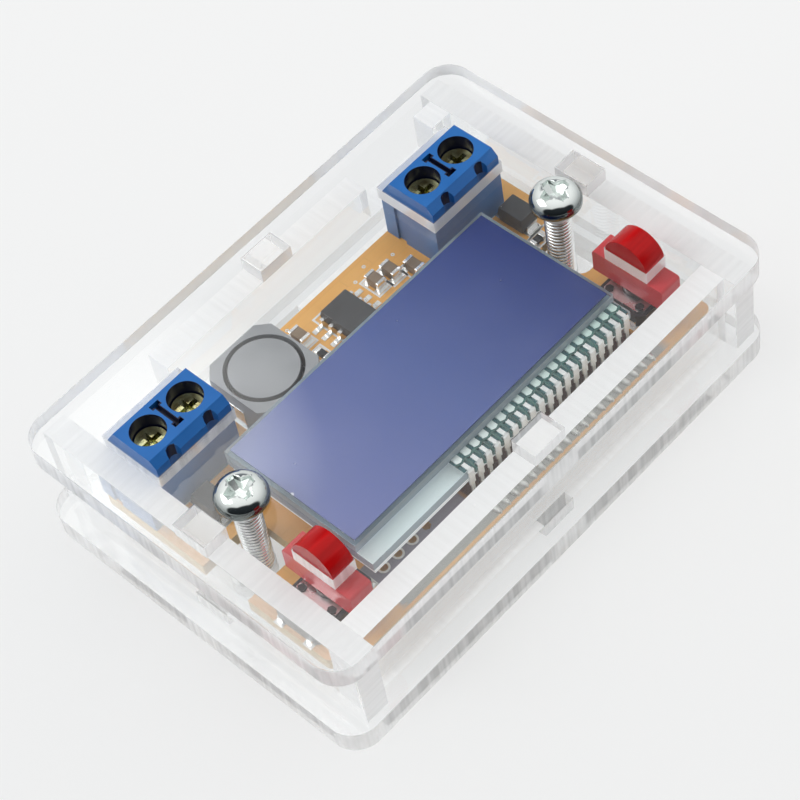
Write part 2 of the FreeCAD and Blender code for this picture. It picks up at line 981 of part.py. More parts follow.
def diode_tabs():
    tabs = []
    half = diode_tab_width / 2
    for side in (-1, 1):
        edge = side * diode_length / 2
        y0, y1 = sorted((edge, edge + side * diode_tab_reach))
        tab = box(-half, half, y0, y1, board_top, board_top + diode_tab_height)
        y0, y1 = sorted((edge + side * diode_tab_sheet, edge + side * 2 * diode_tab_reach))
        tabs.append(tab.cut(box(-2 * half, 2 * half, y0, y1, board_top + diode_tab_sheet, case_height)))
    return tabs


save("bottom_plate", bottom_plate())
save("top_plate", top_plate())
save("left_wall", end_wall(-1))
save("right_wall", end_wall(1))
save("front_wall", side_wall(-1, tab_recess))
save("back_wall", side_wall(1, 0))
save("case_screws", case_screw(-screw_x), case_screw(screw_x))
save("circuit_board", circuit_board())
save("display_front_film", glass_sheet(ledge_back, front_glass_top, film_thickness, film_inset))
save("display_front_glass", glass_sheet(ledge_back, front_glass_bottom, glass_thickness, 0))
save("display_rear_glass", glass_sheet(glass_front, rear_glass_bottom, glass_thickness, 0))
save("display_rear_film", glass_sheet(ledge_back, rear_film_bottom, film_thickness, film_inset))
save("backlight_panel", glass_sheet(glass_front, panel_bottom, panel_thickness, panel_inset))
save("display_foam_pads", *foam_pads())
save("display_pins", *display_pins())
save("left_terminal_housing", terminal_housing(left_terminal_x))
save("right_terminal_housing", terminal_housing(right_terminal_x))
for number, place in enumerate(pole_places(), 1):
    save("terminal_screw_" + str(number), terminal_screw(place))
    save("clamp_cage_" + str(number), clamp_cage(place))
save("terminal_contacts", *[terminal_contact(place) for place in pole_places()])
save("solder_joints", *solder_joints())
save("inductor_shell", inductor_shell())
save("inductor_core", inductor_core())
save("inductor_winding", inductor_winding())
save("inductor_clips", *inductor_clips())
save("converter_chip", converter_chip())
save("converter_chip_leads", *converter_leads())
save("controller_chip", controller_chip())
save("controller_chip_leads", *controller_leads_set())
capacitor_size = (capacitor_length, capacitor_width, capacitor_height)
resistor_size = (resistor_length, resistor_width, resistor_height)
capacitor_set = room_places(capacitor_places) + [beside_chip(0.34)]
resistor_set = room_places(resistor_places) + [beside_chip(0.76)] + edge_places()
capacitor_bodies, capacitor_ends = part_set(capacitor_size, capacitor_set)
resistor_bodies, resistor_ends = part_set(resistor_size, resistor_set)
save("ceramic_capacitors", *capacitor_bodies)
save("chip_resistors", *resistor_bodies)
save("small_part_ends", *(capacitor_ends + resistor_ends))
diode_x = board_end - diode_inset
diode_y = notch_back + diode_share * side_room
save("diodes", *[moved(diode_body(), side * diode_x, diode_y) for side in (-1, 1)])
diode_tab_set = []
for side in (-1, 1):
    diode_tab_set.extend(moved(tab, side * diode_x, diode_y) for tab in diode_tabs())
save("diode_tabs", *diode_tab_set)
for side, hand in ((-1, "left"), (1, "right")):
    x = side * button_x
    save(hand + "_button_cap", moved(button_cap(), x, button_y))
    save(hand + "_switch_plunger", moved(switch_plunger(), x, button_y))
    save(hand + "_switch_cover", moved(switch_cover(), x, button_y))
    save(hand + "_switch_base", moved(switch_base(), x, button_y))
    save(hand + "_switch_dome", moved(switch_dome(), x, button_y))
    save(hand + "_switch_legs", *[moved(leg, x, button_y) for leg in switch_legs()])
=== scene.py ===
import math

import bmesh
import bpy
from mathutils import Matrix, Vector


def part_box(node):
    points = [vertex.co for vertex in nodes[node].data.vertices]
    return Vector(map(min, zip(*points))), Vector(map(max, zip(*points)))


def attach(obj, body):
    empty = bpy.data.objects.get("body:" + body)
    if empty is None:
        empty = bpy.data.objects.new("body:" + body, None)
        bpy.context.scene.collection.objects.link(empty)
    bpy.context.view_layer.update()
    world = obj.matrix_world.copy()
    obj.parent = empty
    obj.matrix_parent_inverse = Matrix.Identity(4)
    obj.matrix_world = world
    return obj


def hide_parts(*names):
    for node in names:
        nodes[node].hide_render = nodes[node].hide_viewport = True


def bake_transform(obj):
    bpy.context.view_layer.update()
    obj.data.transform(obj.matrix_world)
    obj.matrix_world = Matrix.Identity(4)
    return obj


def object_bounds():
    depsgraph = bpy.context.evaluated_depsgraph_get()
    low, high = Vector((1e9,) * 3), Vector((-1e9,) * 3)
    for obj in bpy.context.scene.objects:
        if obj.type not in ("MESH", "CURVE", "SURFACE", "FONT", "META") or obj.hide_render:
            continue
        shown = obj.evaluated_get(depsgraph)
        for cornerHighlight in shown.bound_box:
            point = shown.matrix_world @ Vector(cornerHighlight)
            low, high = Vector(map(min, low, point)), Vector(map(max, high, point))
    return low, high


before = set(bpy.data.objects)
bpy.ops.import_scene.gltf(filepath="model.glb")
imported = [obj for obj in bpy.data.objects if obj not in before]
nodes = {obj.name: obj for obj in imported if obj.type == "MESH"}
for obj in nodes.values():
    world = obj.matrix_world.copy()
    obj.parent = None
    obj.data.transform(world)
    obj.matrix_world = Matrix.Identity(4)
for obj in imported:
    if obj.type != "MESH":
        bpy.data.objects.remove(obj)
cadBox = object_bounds()
scene = bpy.context.scene
mm = 0.001
print("frame loaded:", len(nodes), "pieces")


# Node tree helpers

def feed(tree, socket, value):
    if isinstance(value, bpy.types.NodeSocket):
        tree.links.new(value, socket)
    elif isinstance(value, tuple) and socket.type == "RGBA":
        socket.default_value = (*value, 1)
    else:
        socket.default_value = value


def fill(tree, node, values):
    for label, value in values.items():
        feed(tree, node.inputs[label], value)
    return node


def addNode(tree, kind, values=None, **settings):
    node = tree.nodes.new(kind)
    for key, value in settings.items():
        setattr(node, key, value)
    return fill(tree, node, values or {})


def calc(tree, operation, *values):
    return addNode(tree, "ShaderNodeMath", dict(enumerate(values)), operation=operation).outputs[0]


def times(tree, first, second):
    return calc(tree, "MULTIPLY", first, second)


def vectorCalc(tree, operation, *values):
    node = addNode(tree, "ShaderNodeVectorMath", dict(enumerate(values)), operation=operation)
    return node.outputs["Value" if operation in ("DOT_PRODUCT", "LENGTH") else "Vector"]


def remap(tree, value, low, high, toLow=0.0, toHigh=1.0):
    given = {"Value": value, "From Min": low, "From Max": high, "To Min": toLow, "To Max": toHigh}
    return addNode(tree, "ShaderNodeMapRange", given).outputs["Result"]


def mixColour(tree, factor, first, second):
    given = {"Factor": factor, 6: first, 7: second}
    return addNode(tree, "ShaderNodeMix", given, data_type="RGBA").outputs[2]


def noise(tree, spot, scale, detail):
    given = {"Vector": spot, "Scale": scale, "Detail": detail}
    return addNode(tree, "ShaderNodeTexNoise", given).outputs["Fac"]


def bump(tree, height, distance):
    return addNode(tree, "ShaderNodeBump", {"Height": height, "Distance": distance}).outputs["Normal"]


def objectPlace(tree):
    return addNode(tree, "ShaderNodeTexCoord").outputs["Object"]


def measure(tree, label, axis):
    # how far a place lies along an axis, or how far a normal leans to it
    return vectorCalc(tree, "DOT_PRODUCT", addNode(tree, "ShaderNodeTexCoord").outputs[label], axis)


def parted(tree, vector):
    return addNode(tree, "ShaderNodeSeparateXYZ", {0: vector}).outputs


def joined(tree, parts):
    return addNode(tree, "ShaderNodeCombineXYZ", parts).outputs[0]


socketKinds = {tuple: "NodeSocketVector", float: "NodeSocketFloat", int: "NodeSocketInt"}


def newTree(name, inputs, outputs, kind="ShaderNodeTree", outputKind="NodeSocketFloat"):
    tree = bpy.data.node_groups.new(name, kind)
    for label, value in inputs.items():
        socket = tree.interface.new_socket(label, in_out="INPUT", socket_type=socketKinds[type(value)])
        socket.default_value = value
    for label in outputs:
        tree.interface.new_socket(label, in_out="OUTPUT", socket_type=outputKind)
    return tree, tree.nodes.new("NodeGroupInput").outputs, tree.nodes.new("NodeGroupOutput")


def useGroup(tree, group, values=None):
    return addNode(tree, "ShaderNodeGroup", values, node_tree=group).outputs


# Shared effects

effects = {
    "fineStreaks": 5200,
    "broadStreaks": 1500,
    "fineShare": 0.5,
    "streakStretch": 0.96,
    "frostRange": (0.35, 0.7),
    "dullShare": 0.62,
    "speckRange": (0.10, 0.05),
    "smudgeScale": 90,
    "smudgeRange": (0.45, 0.75),
    "patchRange": (0.3, 0.7),
    "maskBlur": 0.02 * mm,
    "boxBlur": 0.03,
}


def makeCutEdgeGroup():
    # streaks across the cut faces of a sheet, which lie square to the sheet's own axis
    group, given, result = newTree("cutEdge", {"Sheet Axis": (0, 0, 1), "Streak Scale": 1.0},
                                   ["Edge", "Height", "Frost"])
    axis = given["Sheet Axis"]
    edge = remap(group, calc(group, "ABSOLUTE", measure(group, "Normal", axis)), 0.5, 0.2)
    squeeze = vectorCalc(group, "MULTIPLY_ADD", axis, (-effects["streakStretch"],) * 3, (1, 1, 1))
    along = vectorCalc(group, "MULTIPLY", objectPlace(group), squeeze)
    fine = noise(group, along, effects["fineStreaks"], 2)
    broad = noise(group, along, effects["broadStreaks"], 1)
    streaks = calc(group, "MULTIPLY_ADD", fine, effects["fineShare"], broad)
    fill(group, result, {
        "Edge": edge,
        "Height": times(group, times(group, streaks, given["Streak Scale"]), edge),
        "Frost": times(group, remap(group, broad, *effects["frostRange"]), edge),
    })
    return group


def makeAxisGroup():
    # 1 within a radius of an upright axis
    group, given, result = newTree("nearAxis", {"Centre": (0, 0, 0), "Radius": 0.001}, ["Mask"])
    offset = vectorCalc(group, "SUBTRACT", objectPlace(group), given["Centre"])
    distance = vectorCalc(group, "LENGTH", vectorCalc(group, "MULTIPLY", offset, (1, 1, 0)))
    inside = calc(group, "SUBTRACT", given["Radius"], distance)
    fill(group, result, {"Mask": remap(group, inside, -effects["maskBlur"], effects["maskBlur"])})
    return group


def makeBoxGroup():
    # 1 within an upright box
    group, given, result = newTree("insideBox", {"Centre": (0, 0, 0), "Half Size": (1, 1, 1)}, ["Mask"])
    offset = vectorCalc(group, "SUBTRACT", objectPlace(group), given["Centre"])
    offset = vectorCalc(group, "ABSOLUTE", offset)
    parts = parted(group, vectorCalc(group, "DIVIDE", offset, given["Half Size"]))
    furthest = calc(group, "MAXIMUM", parts["X"], calc(group, "MAXIMUM", parts["Y"], parts["Z"]))
    fill(group, result, {"Mask": remap(group, furthest, 1 + effects["boxBlur"], 1 - effects["boxBlur"])})
    return group


def makeSpeckGroup():
    # sparse dust grains and faint smudges
    group, given, result = newTree("dustSpecks", {"Grain Scale": 900.0, "Amount": 0.5}, ["Specks", "Smudge"])
    spot = objectPlace(group)
    cells = addNode(group, "ShaderNodeTexVoronoi", {"Vector": spot, "Scale": given["Grain Scale"]}).outputs
    dots = remap(group, cells["Distance"], *effects["speckRange"])
    rare = addNode(group, "ShaderNodeSeparateColor", {0: cells["Color"]}).outputs[0]
    chosen = calc(group, "LESS_THAN", rare, given["Amount"])
    smudge = remap(group, noise(group, spot, effects["smudgeScale"], 4), *effects["smudgeRange"])
    fill(group, result, {"Specks": times(group, dots, chosen), "Smudge": smudge})
    return group


def makeGrainGroup():
    # slight mottling of moulded and pressed surfaces
    group, given, result = newTree("surfaceGrain", {"Grain Scale": 3000.0, "Patch Scale": 250.0},
                                   ["Grain", "Patches"])
    spot = objectPlace(group)
    patches = remap(group, noise(group, spot, given["Patch Scale"], 3), *effects["patchRange"])
    fill(group, result, {"Grain": noise(group, spot, given["Grain Scale"], 3), "Patches": patches})
    return group


cutEdge = makeCutEdgeGroup()
nearAxis = makeAxisGroup()
insideBox = makeBoxGroup()
dustSpecks = makeSpeckGroup()
surfaceGrain = makeGrainGroup()


# Materials

def near(tree, centre, radius):
    # mask of what lies within a radius of an upright axis
    return useGroup(tree, nearAxis, {"Centre": centre, "Radius": radius})["Mask"]


def within(tree, low, high):
    # mask of the box between two corners
    centre = (Vector(low) + Vector(high)) / 2
    half = (Vector(high) - Vector(low)) / 2
    return useGroup(tree, insideBox, {"Centre": centre[:], "Half Size": half[:]})["Mask"]


def greatest(tree, masks):
    most = masks[0]
    for mask in masks[1:]:
        most = calc(tree, "MAXIMUM", most, mask)
    return most


def show(tree, shader):
    # the surface gets the shader that is shown last
    result = next((node for node in tree.nodes if node.type == "OUTPUT_MATERIAL"), None)
    fill(tree, result or addNode(tree, "ShaderNodeOutputMaterial"), {"Surface": shader})


def newMaterial(name, sockets):
    material = bpy.data.materials.new(name)
    material.use_nodes = True
    material.cycles.emission_sampling = "NONE"
    tree = material.node_tree
    tree.nodes.clear()
    shader = addNode(tree, "ShaderNodeBsdfPrincipled", sockets)
    show(tree, shader.outputs[0])
    return material, tree, shader


def mottled(name, sockets=None, scales=None):
    material, tree, shader = newMaterial(name, sockets)
    return material, tree, shader, useGroup(tree, surfaceGrain, scales)


def mixShaders(tree, factor, first, second):
    return addNode(tree, "ShaderNodeMixShader", {0: factor, 1: first, 2: second}).outputs[0]


def frosted(tree, clear, factor, colour, normal, paintedGlow):
    # a sawn or laser-cut face scatters light, and it gets a painted glow: an emission that stands in for the
    # light the sheet gathers
    dull = {"Color": colour, "Normal": normal}
    through = addNode(tree, "ShaderNodeBsdfTranslucent", dull).outputs[0]
    scatter = mixShaders(tree, effects["dullShare"], through,
                         addNode(tree, "ShaderNodeBsdfDiffuse", dull).outputs[0])
    # painted light: the cut face glows with its own emission
    glow = addNode(tree, "ShaderNodeEmission", {"Strength": paintedGlow}).outputs[0]
    lit = addNode(tree, "ShaderNodeAddShader", {0: scatter, 1: glow}).outputs[0]
    return mixShaders(tree, factor, clear, lit)


def letLampsThrough(tree, shown, tint):
    # clear pieces bend what is seen through them but cast only a faint shadow
    path = addNode(tree, "ShaderNodeLightPath").outputs
    through = calc(tree, "MAXIMUM", path["Is Shadow Ray"], path["Is Diffuse Ray"])
    unbent = addNode(tree, "ShaderNodeBsdfTransparent", {"Color": tint}).outputs[0]
    show(tree, mixShaders(tree, through, shown, unbent))


upward = (0, 0, 1)
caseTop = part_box("top_plate")[1].z
clearSheetSettings = {
    "tint": (0.985, 0.992, 0.995),
    "shadowTint": (0.988, 0.990, 0.991),
    "faceRoughness": 0.0,
    "edgeRoughness": 0.12,
    "dust": {"Grain Scale": 700.0, "Amount": 0.04},
    "dustRoughness": 0.3,
    "streakDepth": 0.005 * mm,
    "farAxis": (0.6, 0.8, 0),
    "farStreaks": 0.15,
    "frostColour": (0.915, 0.92, 0.92),
    "tabClearness": 0.85,
}


def clearSheet(name, axis, frost, farFrost, streakScale, paintedGlow):
    given = clearSheetSettings
    material, tree, shader = newMaterial(name, {"Transmission Weight": 1.0, "IOR": 1.49})
    cut = useGroup(tree, cutEdge, {"Sheet Axis": axis, "Streak Scale": streakScale})
    dust = useGroup(tree, dustSpecks, given["dust"])
    rough = remap(tree, cut["Edge"], 0, 1, given["faceRoughness"], given["edgeRoughness"])
    rough = calc(tree, "ADD", rough, times(tree, dust["Specks"], given["dustRoughness"]))
    # the two far sides of the case are duller and smoother than the two near ones
    far = remap(tree, measure(tree, "Object", given["farAxis"]), -1 * mm, 1 * mm)
    height = times(tree, cut["Height"], remap(tree, far, 0, 1, 1, given["farStreaks"]))
    uneven = bump(tree, height, given["streakDepth"])
    fill(tree, shader, {"Base Color": given["tint"], "Roughness": rough, "Normal": uneven})
    share = calc(tree, "MAXIMUM", remap(tree, cut["Frost"], 0, 1, *frost), times(tree, far, farFrost))
    tab = remap(tree, measure(tree, "Object", upward), caseTop - 0.15 * mm, caseTop - 0.05 * mm)
    share = times(tree, share, remap(tree, tab, 0, 1, 1, 1 - given["tabClearness"]))
    share = times(tree, share, cut["Edge"])
    shown = frosted(tree, shader.outputs[0], share, given["frostColour"], uneven, paintedGlow)
    letLampsThrough(tree, shown, given["shadowTint"])
    return material


redCap = {
    "colours": ((0.44, 0.001, 0.002), (0.56, 0.003, 0.004)),
    # painted light: the lighter, pinker red of the part below the plate's top
    "paintedLitColour": (0.66, 0.055, 0.065),
    "paintedLitShare": 0.8,
    "paintedLitFrom": 0.9 * mm,
    "paintedLitTo": 1.4 * mm,
}


def redSheet(name):
    material, tree, shader = newMaterial(name, {"Specular IOR Level": 0.20})
    cut = useGroup(tree, cutEdge, {"Sheet Axis": (1, 0, 0)})
    colour = mixColour(tree, cut["Frost"], *redCap["colours"])
    # painted light: below the clear plate's top the cap is painted a lighter, pinker red, for the light that
    # reaches it through the plate
    paintedLit = remap(tree, measure(tree, "Object", upward), caseTop - redCap["paintedLitTo"],
                    caseTop - redCap["paintedLitFrom"], redCap["paintedLitShare"], 0)
    fill(tree, shader, {
        "Base Color": mixColour(tree, paintedLit, colour, redCap["paintedLitColour"]),
        "Roughness": remap(tree, cut["Edge"], 0, 1, 0.08, 0.24),
        "Normal": bump(tree, cut["Height"], 0.03 * mm),
    })
    return material


def grainy(tree, shader, grain, colour, roughness, depth):
    # gloss that differs from patch to patch, over a fine grain
    fill(tree, shader, {
        "Base Color": colour,
        "Roughness": remap(tree, grain["Patches"], 0, 1, *roughness),
        "Normal": bump(tree, grain["Grain"], depth),
    })


def moulded(name, colour, patchColour, roughness, grainDepth=0.004 * mm, scales=None, sockets=None):
    material, tree, shader, grain = mottled(name, sockets, scales)
    grainy(tree, shader, grain, mixColour(tree, grain["Patches"], colour, patchColour), roughness, grainDepth)
    return material


def metal(name, colour, patchColour, roughness, grainDepth=0.002 * mm, scale=1800.0, patchScale=350.0):
    scales = {"Grain Scale": scale, "Patch Scale": patchScale}
    return moulded(name, colour, patchColour, roughness, grainDepth, scales, {"Metallic": 1.0})


zinc = {
    "scales": {"Grain Scale": 900.0, "Patch Scale": 300.0},
    "crownRange": (0.45, 0.97),
    "crownColour": (0.80, 0.84, 0.82),
    # painted shade for the flanks of the screw heads
    "flankPaintedShade": ((0.17, 0.19, 0.19), (0.27, 0.30, 0.29)),
    "crestAndGrooveShade": ((0.97, 0.97, 0.96), (0.07, 0.075, 0.075)),
}


def brightZinc(name):
    # polished plating, clear on the crown, with painted shade round the flanks: where the normal leans away
    # from up, the colour is painted darker for the dark parts of the room that the flanks mirror
    material, tree, shader, grain = mottled(name, {"Metallic": 1.0}, zinc["scales"])
    crown = remap(tree, measure(tree, "Normal", upward), *zinc["crownRange"])
    flankShade = mixColour(tree, grain["Patches"], *zinc["flankPaintedShade"])
    colour = mixColour(tree, crown, flankShade, zinc["crownColour"])
    grainy(tree, shader, grain, colour, (0.07, 0.16), 0.0015 * mm)
    return material


board = {
    "scales": {"Grain Scale": 5000.0, "Patch Scale": 120.0},
    "copper": ((0.80, 0.39, 0.085), (0.86, 0.46, 0.13)),
    "lanes": {"Scale": 420.0, "Mortar Size": 0.02, "Brick Width": 1.6, "Row Height": 0.55},
    "laneColour": (0.66, 0.33, 0.09),
    "laneShare": 0.35,
    "sideColour": (0.72, 0.50, 0.22),
    # fields painted over the laminate, as x, x, y, y in mm and colour: a grey-violet field at the front left,
    # painted shade as a dark brown field under the display, and a grey strip along the front edge
    "fieldsAndShade": [
        (-18.7, -6.1, -15.3, -11.2, (0.28, 0.27, 0.32)),
        (-6.1, 18.8, -14.6, -11.2, (0.075, 0.038, 0.028)),
        (-18.7, 19.6, -15.7, -14.6, (0.34, 0.335, 0.30)),
    ],
}


def boardLaminate(name):
    material, tree, shader, grain = mottled(name, {"Specular IOR Level": 0.5}, board["scales"])
    lanes = addNode(tree, "ShaderNodeTexBrick", {"Vector": objectPlace(tree), **board["lanes"]}, offset=0.5)
    lane = times(tree, lanes.outputs["Fac"], board["laneShare"])
    laminate = mixColour(tree, lane, mixColour(tree, grain["Patches"], *board["copper"]), board["laneColour"])
    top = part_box("circuit_board")[1].z
    # the fields are painted over the laminate; the dark brown one is painted shade under the display
    for x0, x1, y0, y1, shown in board["fieldsAndShade"]:
        fieldAndShade = within(tree, (x0 * mm, y0 * mm, top - 0.1 * mm), (x1 * mm, y1 * mm, top + 0.1 * mm))
        laminate = mixColour(tree, fieldAndShade, laminate, shown)
    side = remap(tree, calc(tree, "ABSOLUTE", measure(tree, "Normal", upward)), 0.6, 0.3)
    fill(tree, shader, {
        "Base Color": mixColour(tree, side, laminate, board["sideColour"]),
        "Roughness": remap(tree, side, 0, 1, 0.3, 0.7),
        "Normal": bump(tree, grain["Grain"], 0.004 * mm),
    })
    return material


display = {
    "gloss": {"Coat Weight": 0.25, "Coat Roughness": 0.02, "Specular IOR Level": 0.5},
    # painted light: the film's colour runs from near through middle to far, with a painted highlight in one
    # corner
    "nearColour": (0.145, 0.180, 0.430),
    "middleColour": (0.075, 0.118, 0.345),
    "farColour": (0.001, 0.023, 0.190),
    "cornerHighlightColour": (0.20, 0.24, 0.47),
    "highlightCorner": (0.55, 0.7),
    "smudgeColour": (0.30, 0.34, 0.62),
    "smudgeShare": 0.06,
    "dust": {"Grain Scale": 380.0, "Amount": 0.10},
    "dustColour": (0.85, 0.87, 0.95),
    "dustShare": 0.85,
    "glassTint": (0.90, 0.95, 0.95),
    "glassEdge": (0.78, 0.88, 0.88),
    "glassFrost": (0.72, 0.80, 0.84),
    "glassShadow": (0.86, 0.91, 0.91),
    "waistFromBack": 0.98 * mm,
    "clipScales": {"Grain Scale": 1800.0, "Patch Scale": 350.0},
    "clipColours": ((0.90, 0.92, 0.90), (0.97, 0.98, 0.96)),
    "upperTint": (0.78, 1.0, 0.92),
}


def displayFilm(name):
    # painted light: the film is painted paler at the near end and darker towards the far end, with a painted
    # highlight towards the corner that looks into the light
    material, tree, shader = newMaterial(name, display["gloss"])
    low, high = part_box("display_front_film")
    spot = parted(tree, objectPlace(tree))
    middle, (acrossEnd, backStart) = (low.x + high.x) / 2, display["highlightCorner"]
    cornerHighlight = times(tree, remap(tree, spot["X"], low.x, low.x * acrossEnd, 1, 0),
                   remap(tree, spot["Y"], low.y * backStart, high.y))
    dust = useGroup(tree, dustSpecks, display["dust"])
    colour = display["nearColour"]
    for share, shade in (
        (remap(tree, spot["X"], low.x, middle), "middleColour"),
        (remap(tree, spot["X"], middle, high.x), "farColour"),
        (cornerHighlight, "cornerHighlightColour"),
        (times(tree, dust["Smudge"], display["smudgeShare"]), "smudgeColour"),
        (times(tree, dust["Specks"], display["dustShare"]), "dustColour"),
    ):
        colour = mixColour(tree, share, colour, display[shade])
    fill(tree, shader, {"Base Color": colour, "Roughness": remap(tree, dust["Smudge"], 0, 1, 0.10, 0.22)})
    return material


def displayGlass(name):
    material, tree, shader = newMaterial(name, {"Transmission Weight": 1.0, "IOR": 1.52})
    cut = useGroup(tree, cutEdge)
    uneven = bump(tree, cut["Height"], 0.006 * mm)
    fill(tree, shader, {
        "Base Color": mixColour(tree, cut["Edge"], display["glassTint"], display["glassEdge"]),
        "Roughness": remap(tree, cut["Edge"], 0, 1, 0.0, 0.22),
        "Normal": uneven,
    })
    share = times(tree, cut["Edge"], 0.6)
    shown = frosted(tree, shader.outputs[0], share, display["glassFrost"], uneven, 0.0)
    letLampsThrough(tree, shown, display["glassShadow"])
    return material


def mintTopTin(name):
    # the clips' upper ends are tinted mint, more so towards the right
    material, tree, shader, grain = mottled(name, {"Metallic": 1.0}, display["clipScales"])
    low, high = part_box("display_pins")
    spot = parted(tree, objectPlace(tree))
    waist = high.y - display["waistFromBack"]
    tintedTop = times(tree, remap(tree, spot["Y"], waist - 0.05 * mm, waist + 0.05 * mm),
                  remap(tree, spot["X"], low.x, high.x, 0.25, 1))
    colour = mixColour(tree, grain["Patches"], *display["clipColours"])
    colour = mixColour(tree, tintedTop, colour, display["upperTint"])
    grainy(tree, shader, grain, colour, (0.34, 0.46), 0.002 * mm)
    return material


terminal = {
    "polePitch": 5.0 * mm,
    "poleFromFront": 3.5 * mm,
    "boreRadius": 1.87 * mm,
    "notchHalf": 0.55 * mm,
    "notchReach": 0.78 * mm,
    "notchDepth": 1.9 * mm,
    "slotReach": 1.55 * mm,
    "slotHalf": 0.31 * mm,
    "slotEnd": 0.60 * mm,
    "slotMiddle": 0.9,
    "slotDepth": 3 * mm,
    "colours": ((0.003, 0.130, 0.45), (0.008, 0.152, 0.50)),
    # painted shade for the bores, notches and slot
    "paintedShadeColour": (0.003, 0.006, 0.035),
    # painted light: a paler blue below the clear plate's top
    "paintedLitColour": (0.16, 0.24, 0.36),
    "paintedLitShare": 0.4,
}


def terminalPlastic(name):
    # painted shade: the bores, the notches over the wire windows and the slot between the poles are painted
    # almost black, where shade falls in them
    given = terminal
    material, tree, shader, grain = mottled(name)
    colour = mixColour(tree, grain["Patches"], *given["colours"])
    # painted light: below the clear plate's top the plastic is painted a paler blue
    paintedLit = remap(tree, measure(tree, "Object", upward), caseTop - 0.3 * mm, caseTop - 0.1 * mm,
                    given["paintedLitShare"], 0)
    colour = mixColour(tree, paintedLit, colour, given["paintedLitColour"])
    paintedShade = []

    def paintShade(x, halfX, y0, y1, z0, z1):
        paintedShade.append(within(tree, (x - halfX, y0, z0), (x + halfX, y1, z1)))

    for housing in ("left_terminal_housing", "right_terminal_housing"):
        low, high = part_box(housing)
        middle, centre = (low.x + high.x) / 2, low.y + given["poleFromFront"]
        slot = high.z - given["slotDepth"], high.z + 1 * mm
        for side in (-1, 1):
            pole = middle + side * given["polePitch"] / 2
            paintedShade.append(near(tree, (pole, centre, 0), given["boreRadius"]))
            paintShade(pole, given["notchHalf"], low.y - 1 * mm, low.y + given["notchReach"],
                   high.z - given["notchDepth"], high.z - 0.2 * mm)
            end = centre + side * given["slotReach"]
            paintShade(middle, given["slotEnd"], end - given["slotHalf"], end + given["slotHalf"], *slot)
        reach = given["slotReach"] * given["slotMiddle"]
        paintShade(middle, given["slotHalf"], centre - reach, centre + reach, *slot)
    # painted shade in the bores, notches and slot
    colour = mixColour(tree, greatest(tree, paintedShade), colour, given["paintedShadeColour"])
    grainy(tree, shader, grain, colour, (0.30, 0.40), 0.004 * mm)
    return material


coil = {
    "colours": ((0.30, 0.31, 0.32), (0.37, 0.38, 0.39)),
    # painted shade over the gap between drum and shell
    "gapShadeColour": (0.03, 0.03, 0.032),
    "gapOutward": 0.34 * mm,
    "gapInward": 0.10 * mm,
}


def drumFerrite(name):
    # pressed ferrite, with painted shade: a dark ring painted over the gap between the drum and its shell
    material, tree, shader, grain = mottled(name)
    low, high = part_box("inductor_core")
    centre, radius = ((low + high) / 2)[:], (high.x - low.x) / 2
    outer = near(tree, centre, radius + coil["gapOutward"])
    gapShade = calc(tree, "SUBTRACT", outer, near(tree, centre, radius - coil["gapInward"]))
    colour = mixColour(tree, grain["Patches"], *coil["colours"])
    grainy(tree, shader, grain, mixColour(tree, gapShade, colour, coil["gapShadeColour"]), (0.42, 0.55), 0.006 * mm)
    return material


def backlightPaintedGlow(name):
    # painted light: the backlight panel glows faintly, so that its white frame shows brighter
    glow = {"Emission Color": (0.93, 0.98, 0.98), "Emission Strength": 0.22}
    material, tree, shader, grain = mottled(name, glow)
    fill(tree, shader, {
        "Base Color": mixColour(tree, grain["Patches"], (0.88, 0.92, 0.92), (0.94, 0.96, 0.96)),
        "Roughness": remap(tree, grain["Grain"], 0, 1, 0.3, 0.45),
    })
    return material


def contactGlue(name):
    gloss = {"Specular IOR Level": 0.6, "Coat Weight": 0.6, "Coat Roughness": 0.03}
    material, tree, shader, grain = mottled(name, gloss, {"Grain Scale": 900.0, "Patch Scale": 700.0})
    fill(tree, shader, {
        "Base Color": mixColour(tree, grain["Patches"], (0.010, 0.060, 0.052), (0.040, 0.170, 0.145)),
        "Roughness": remap(tree, grain["Grain"], 0.3, 0.7, 0.08, 0.22),
        "Normal": bump(tree, grain["Grain"], 0.01 * mm),
    })
    return material
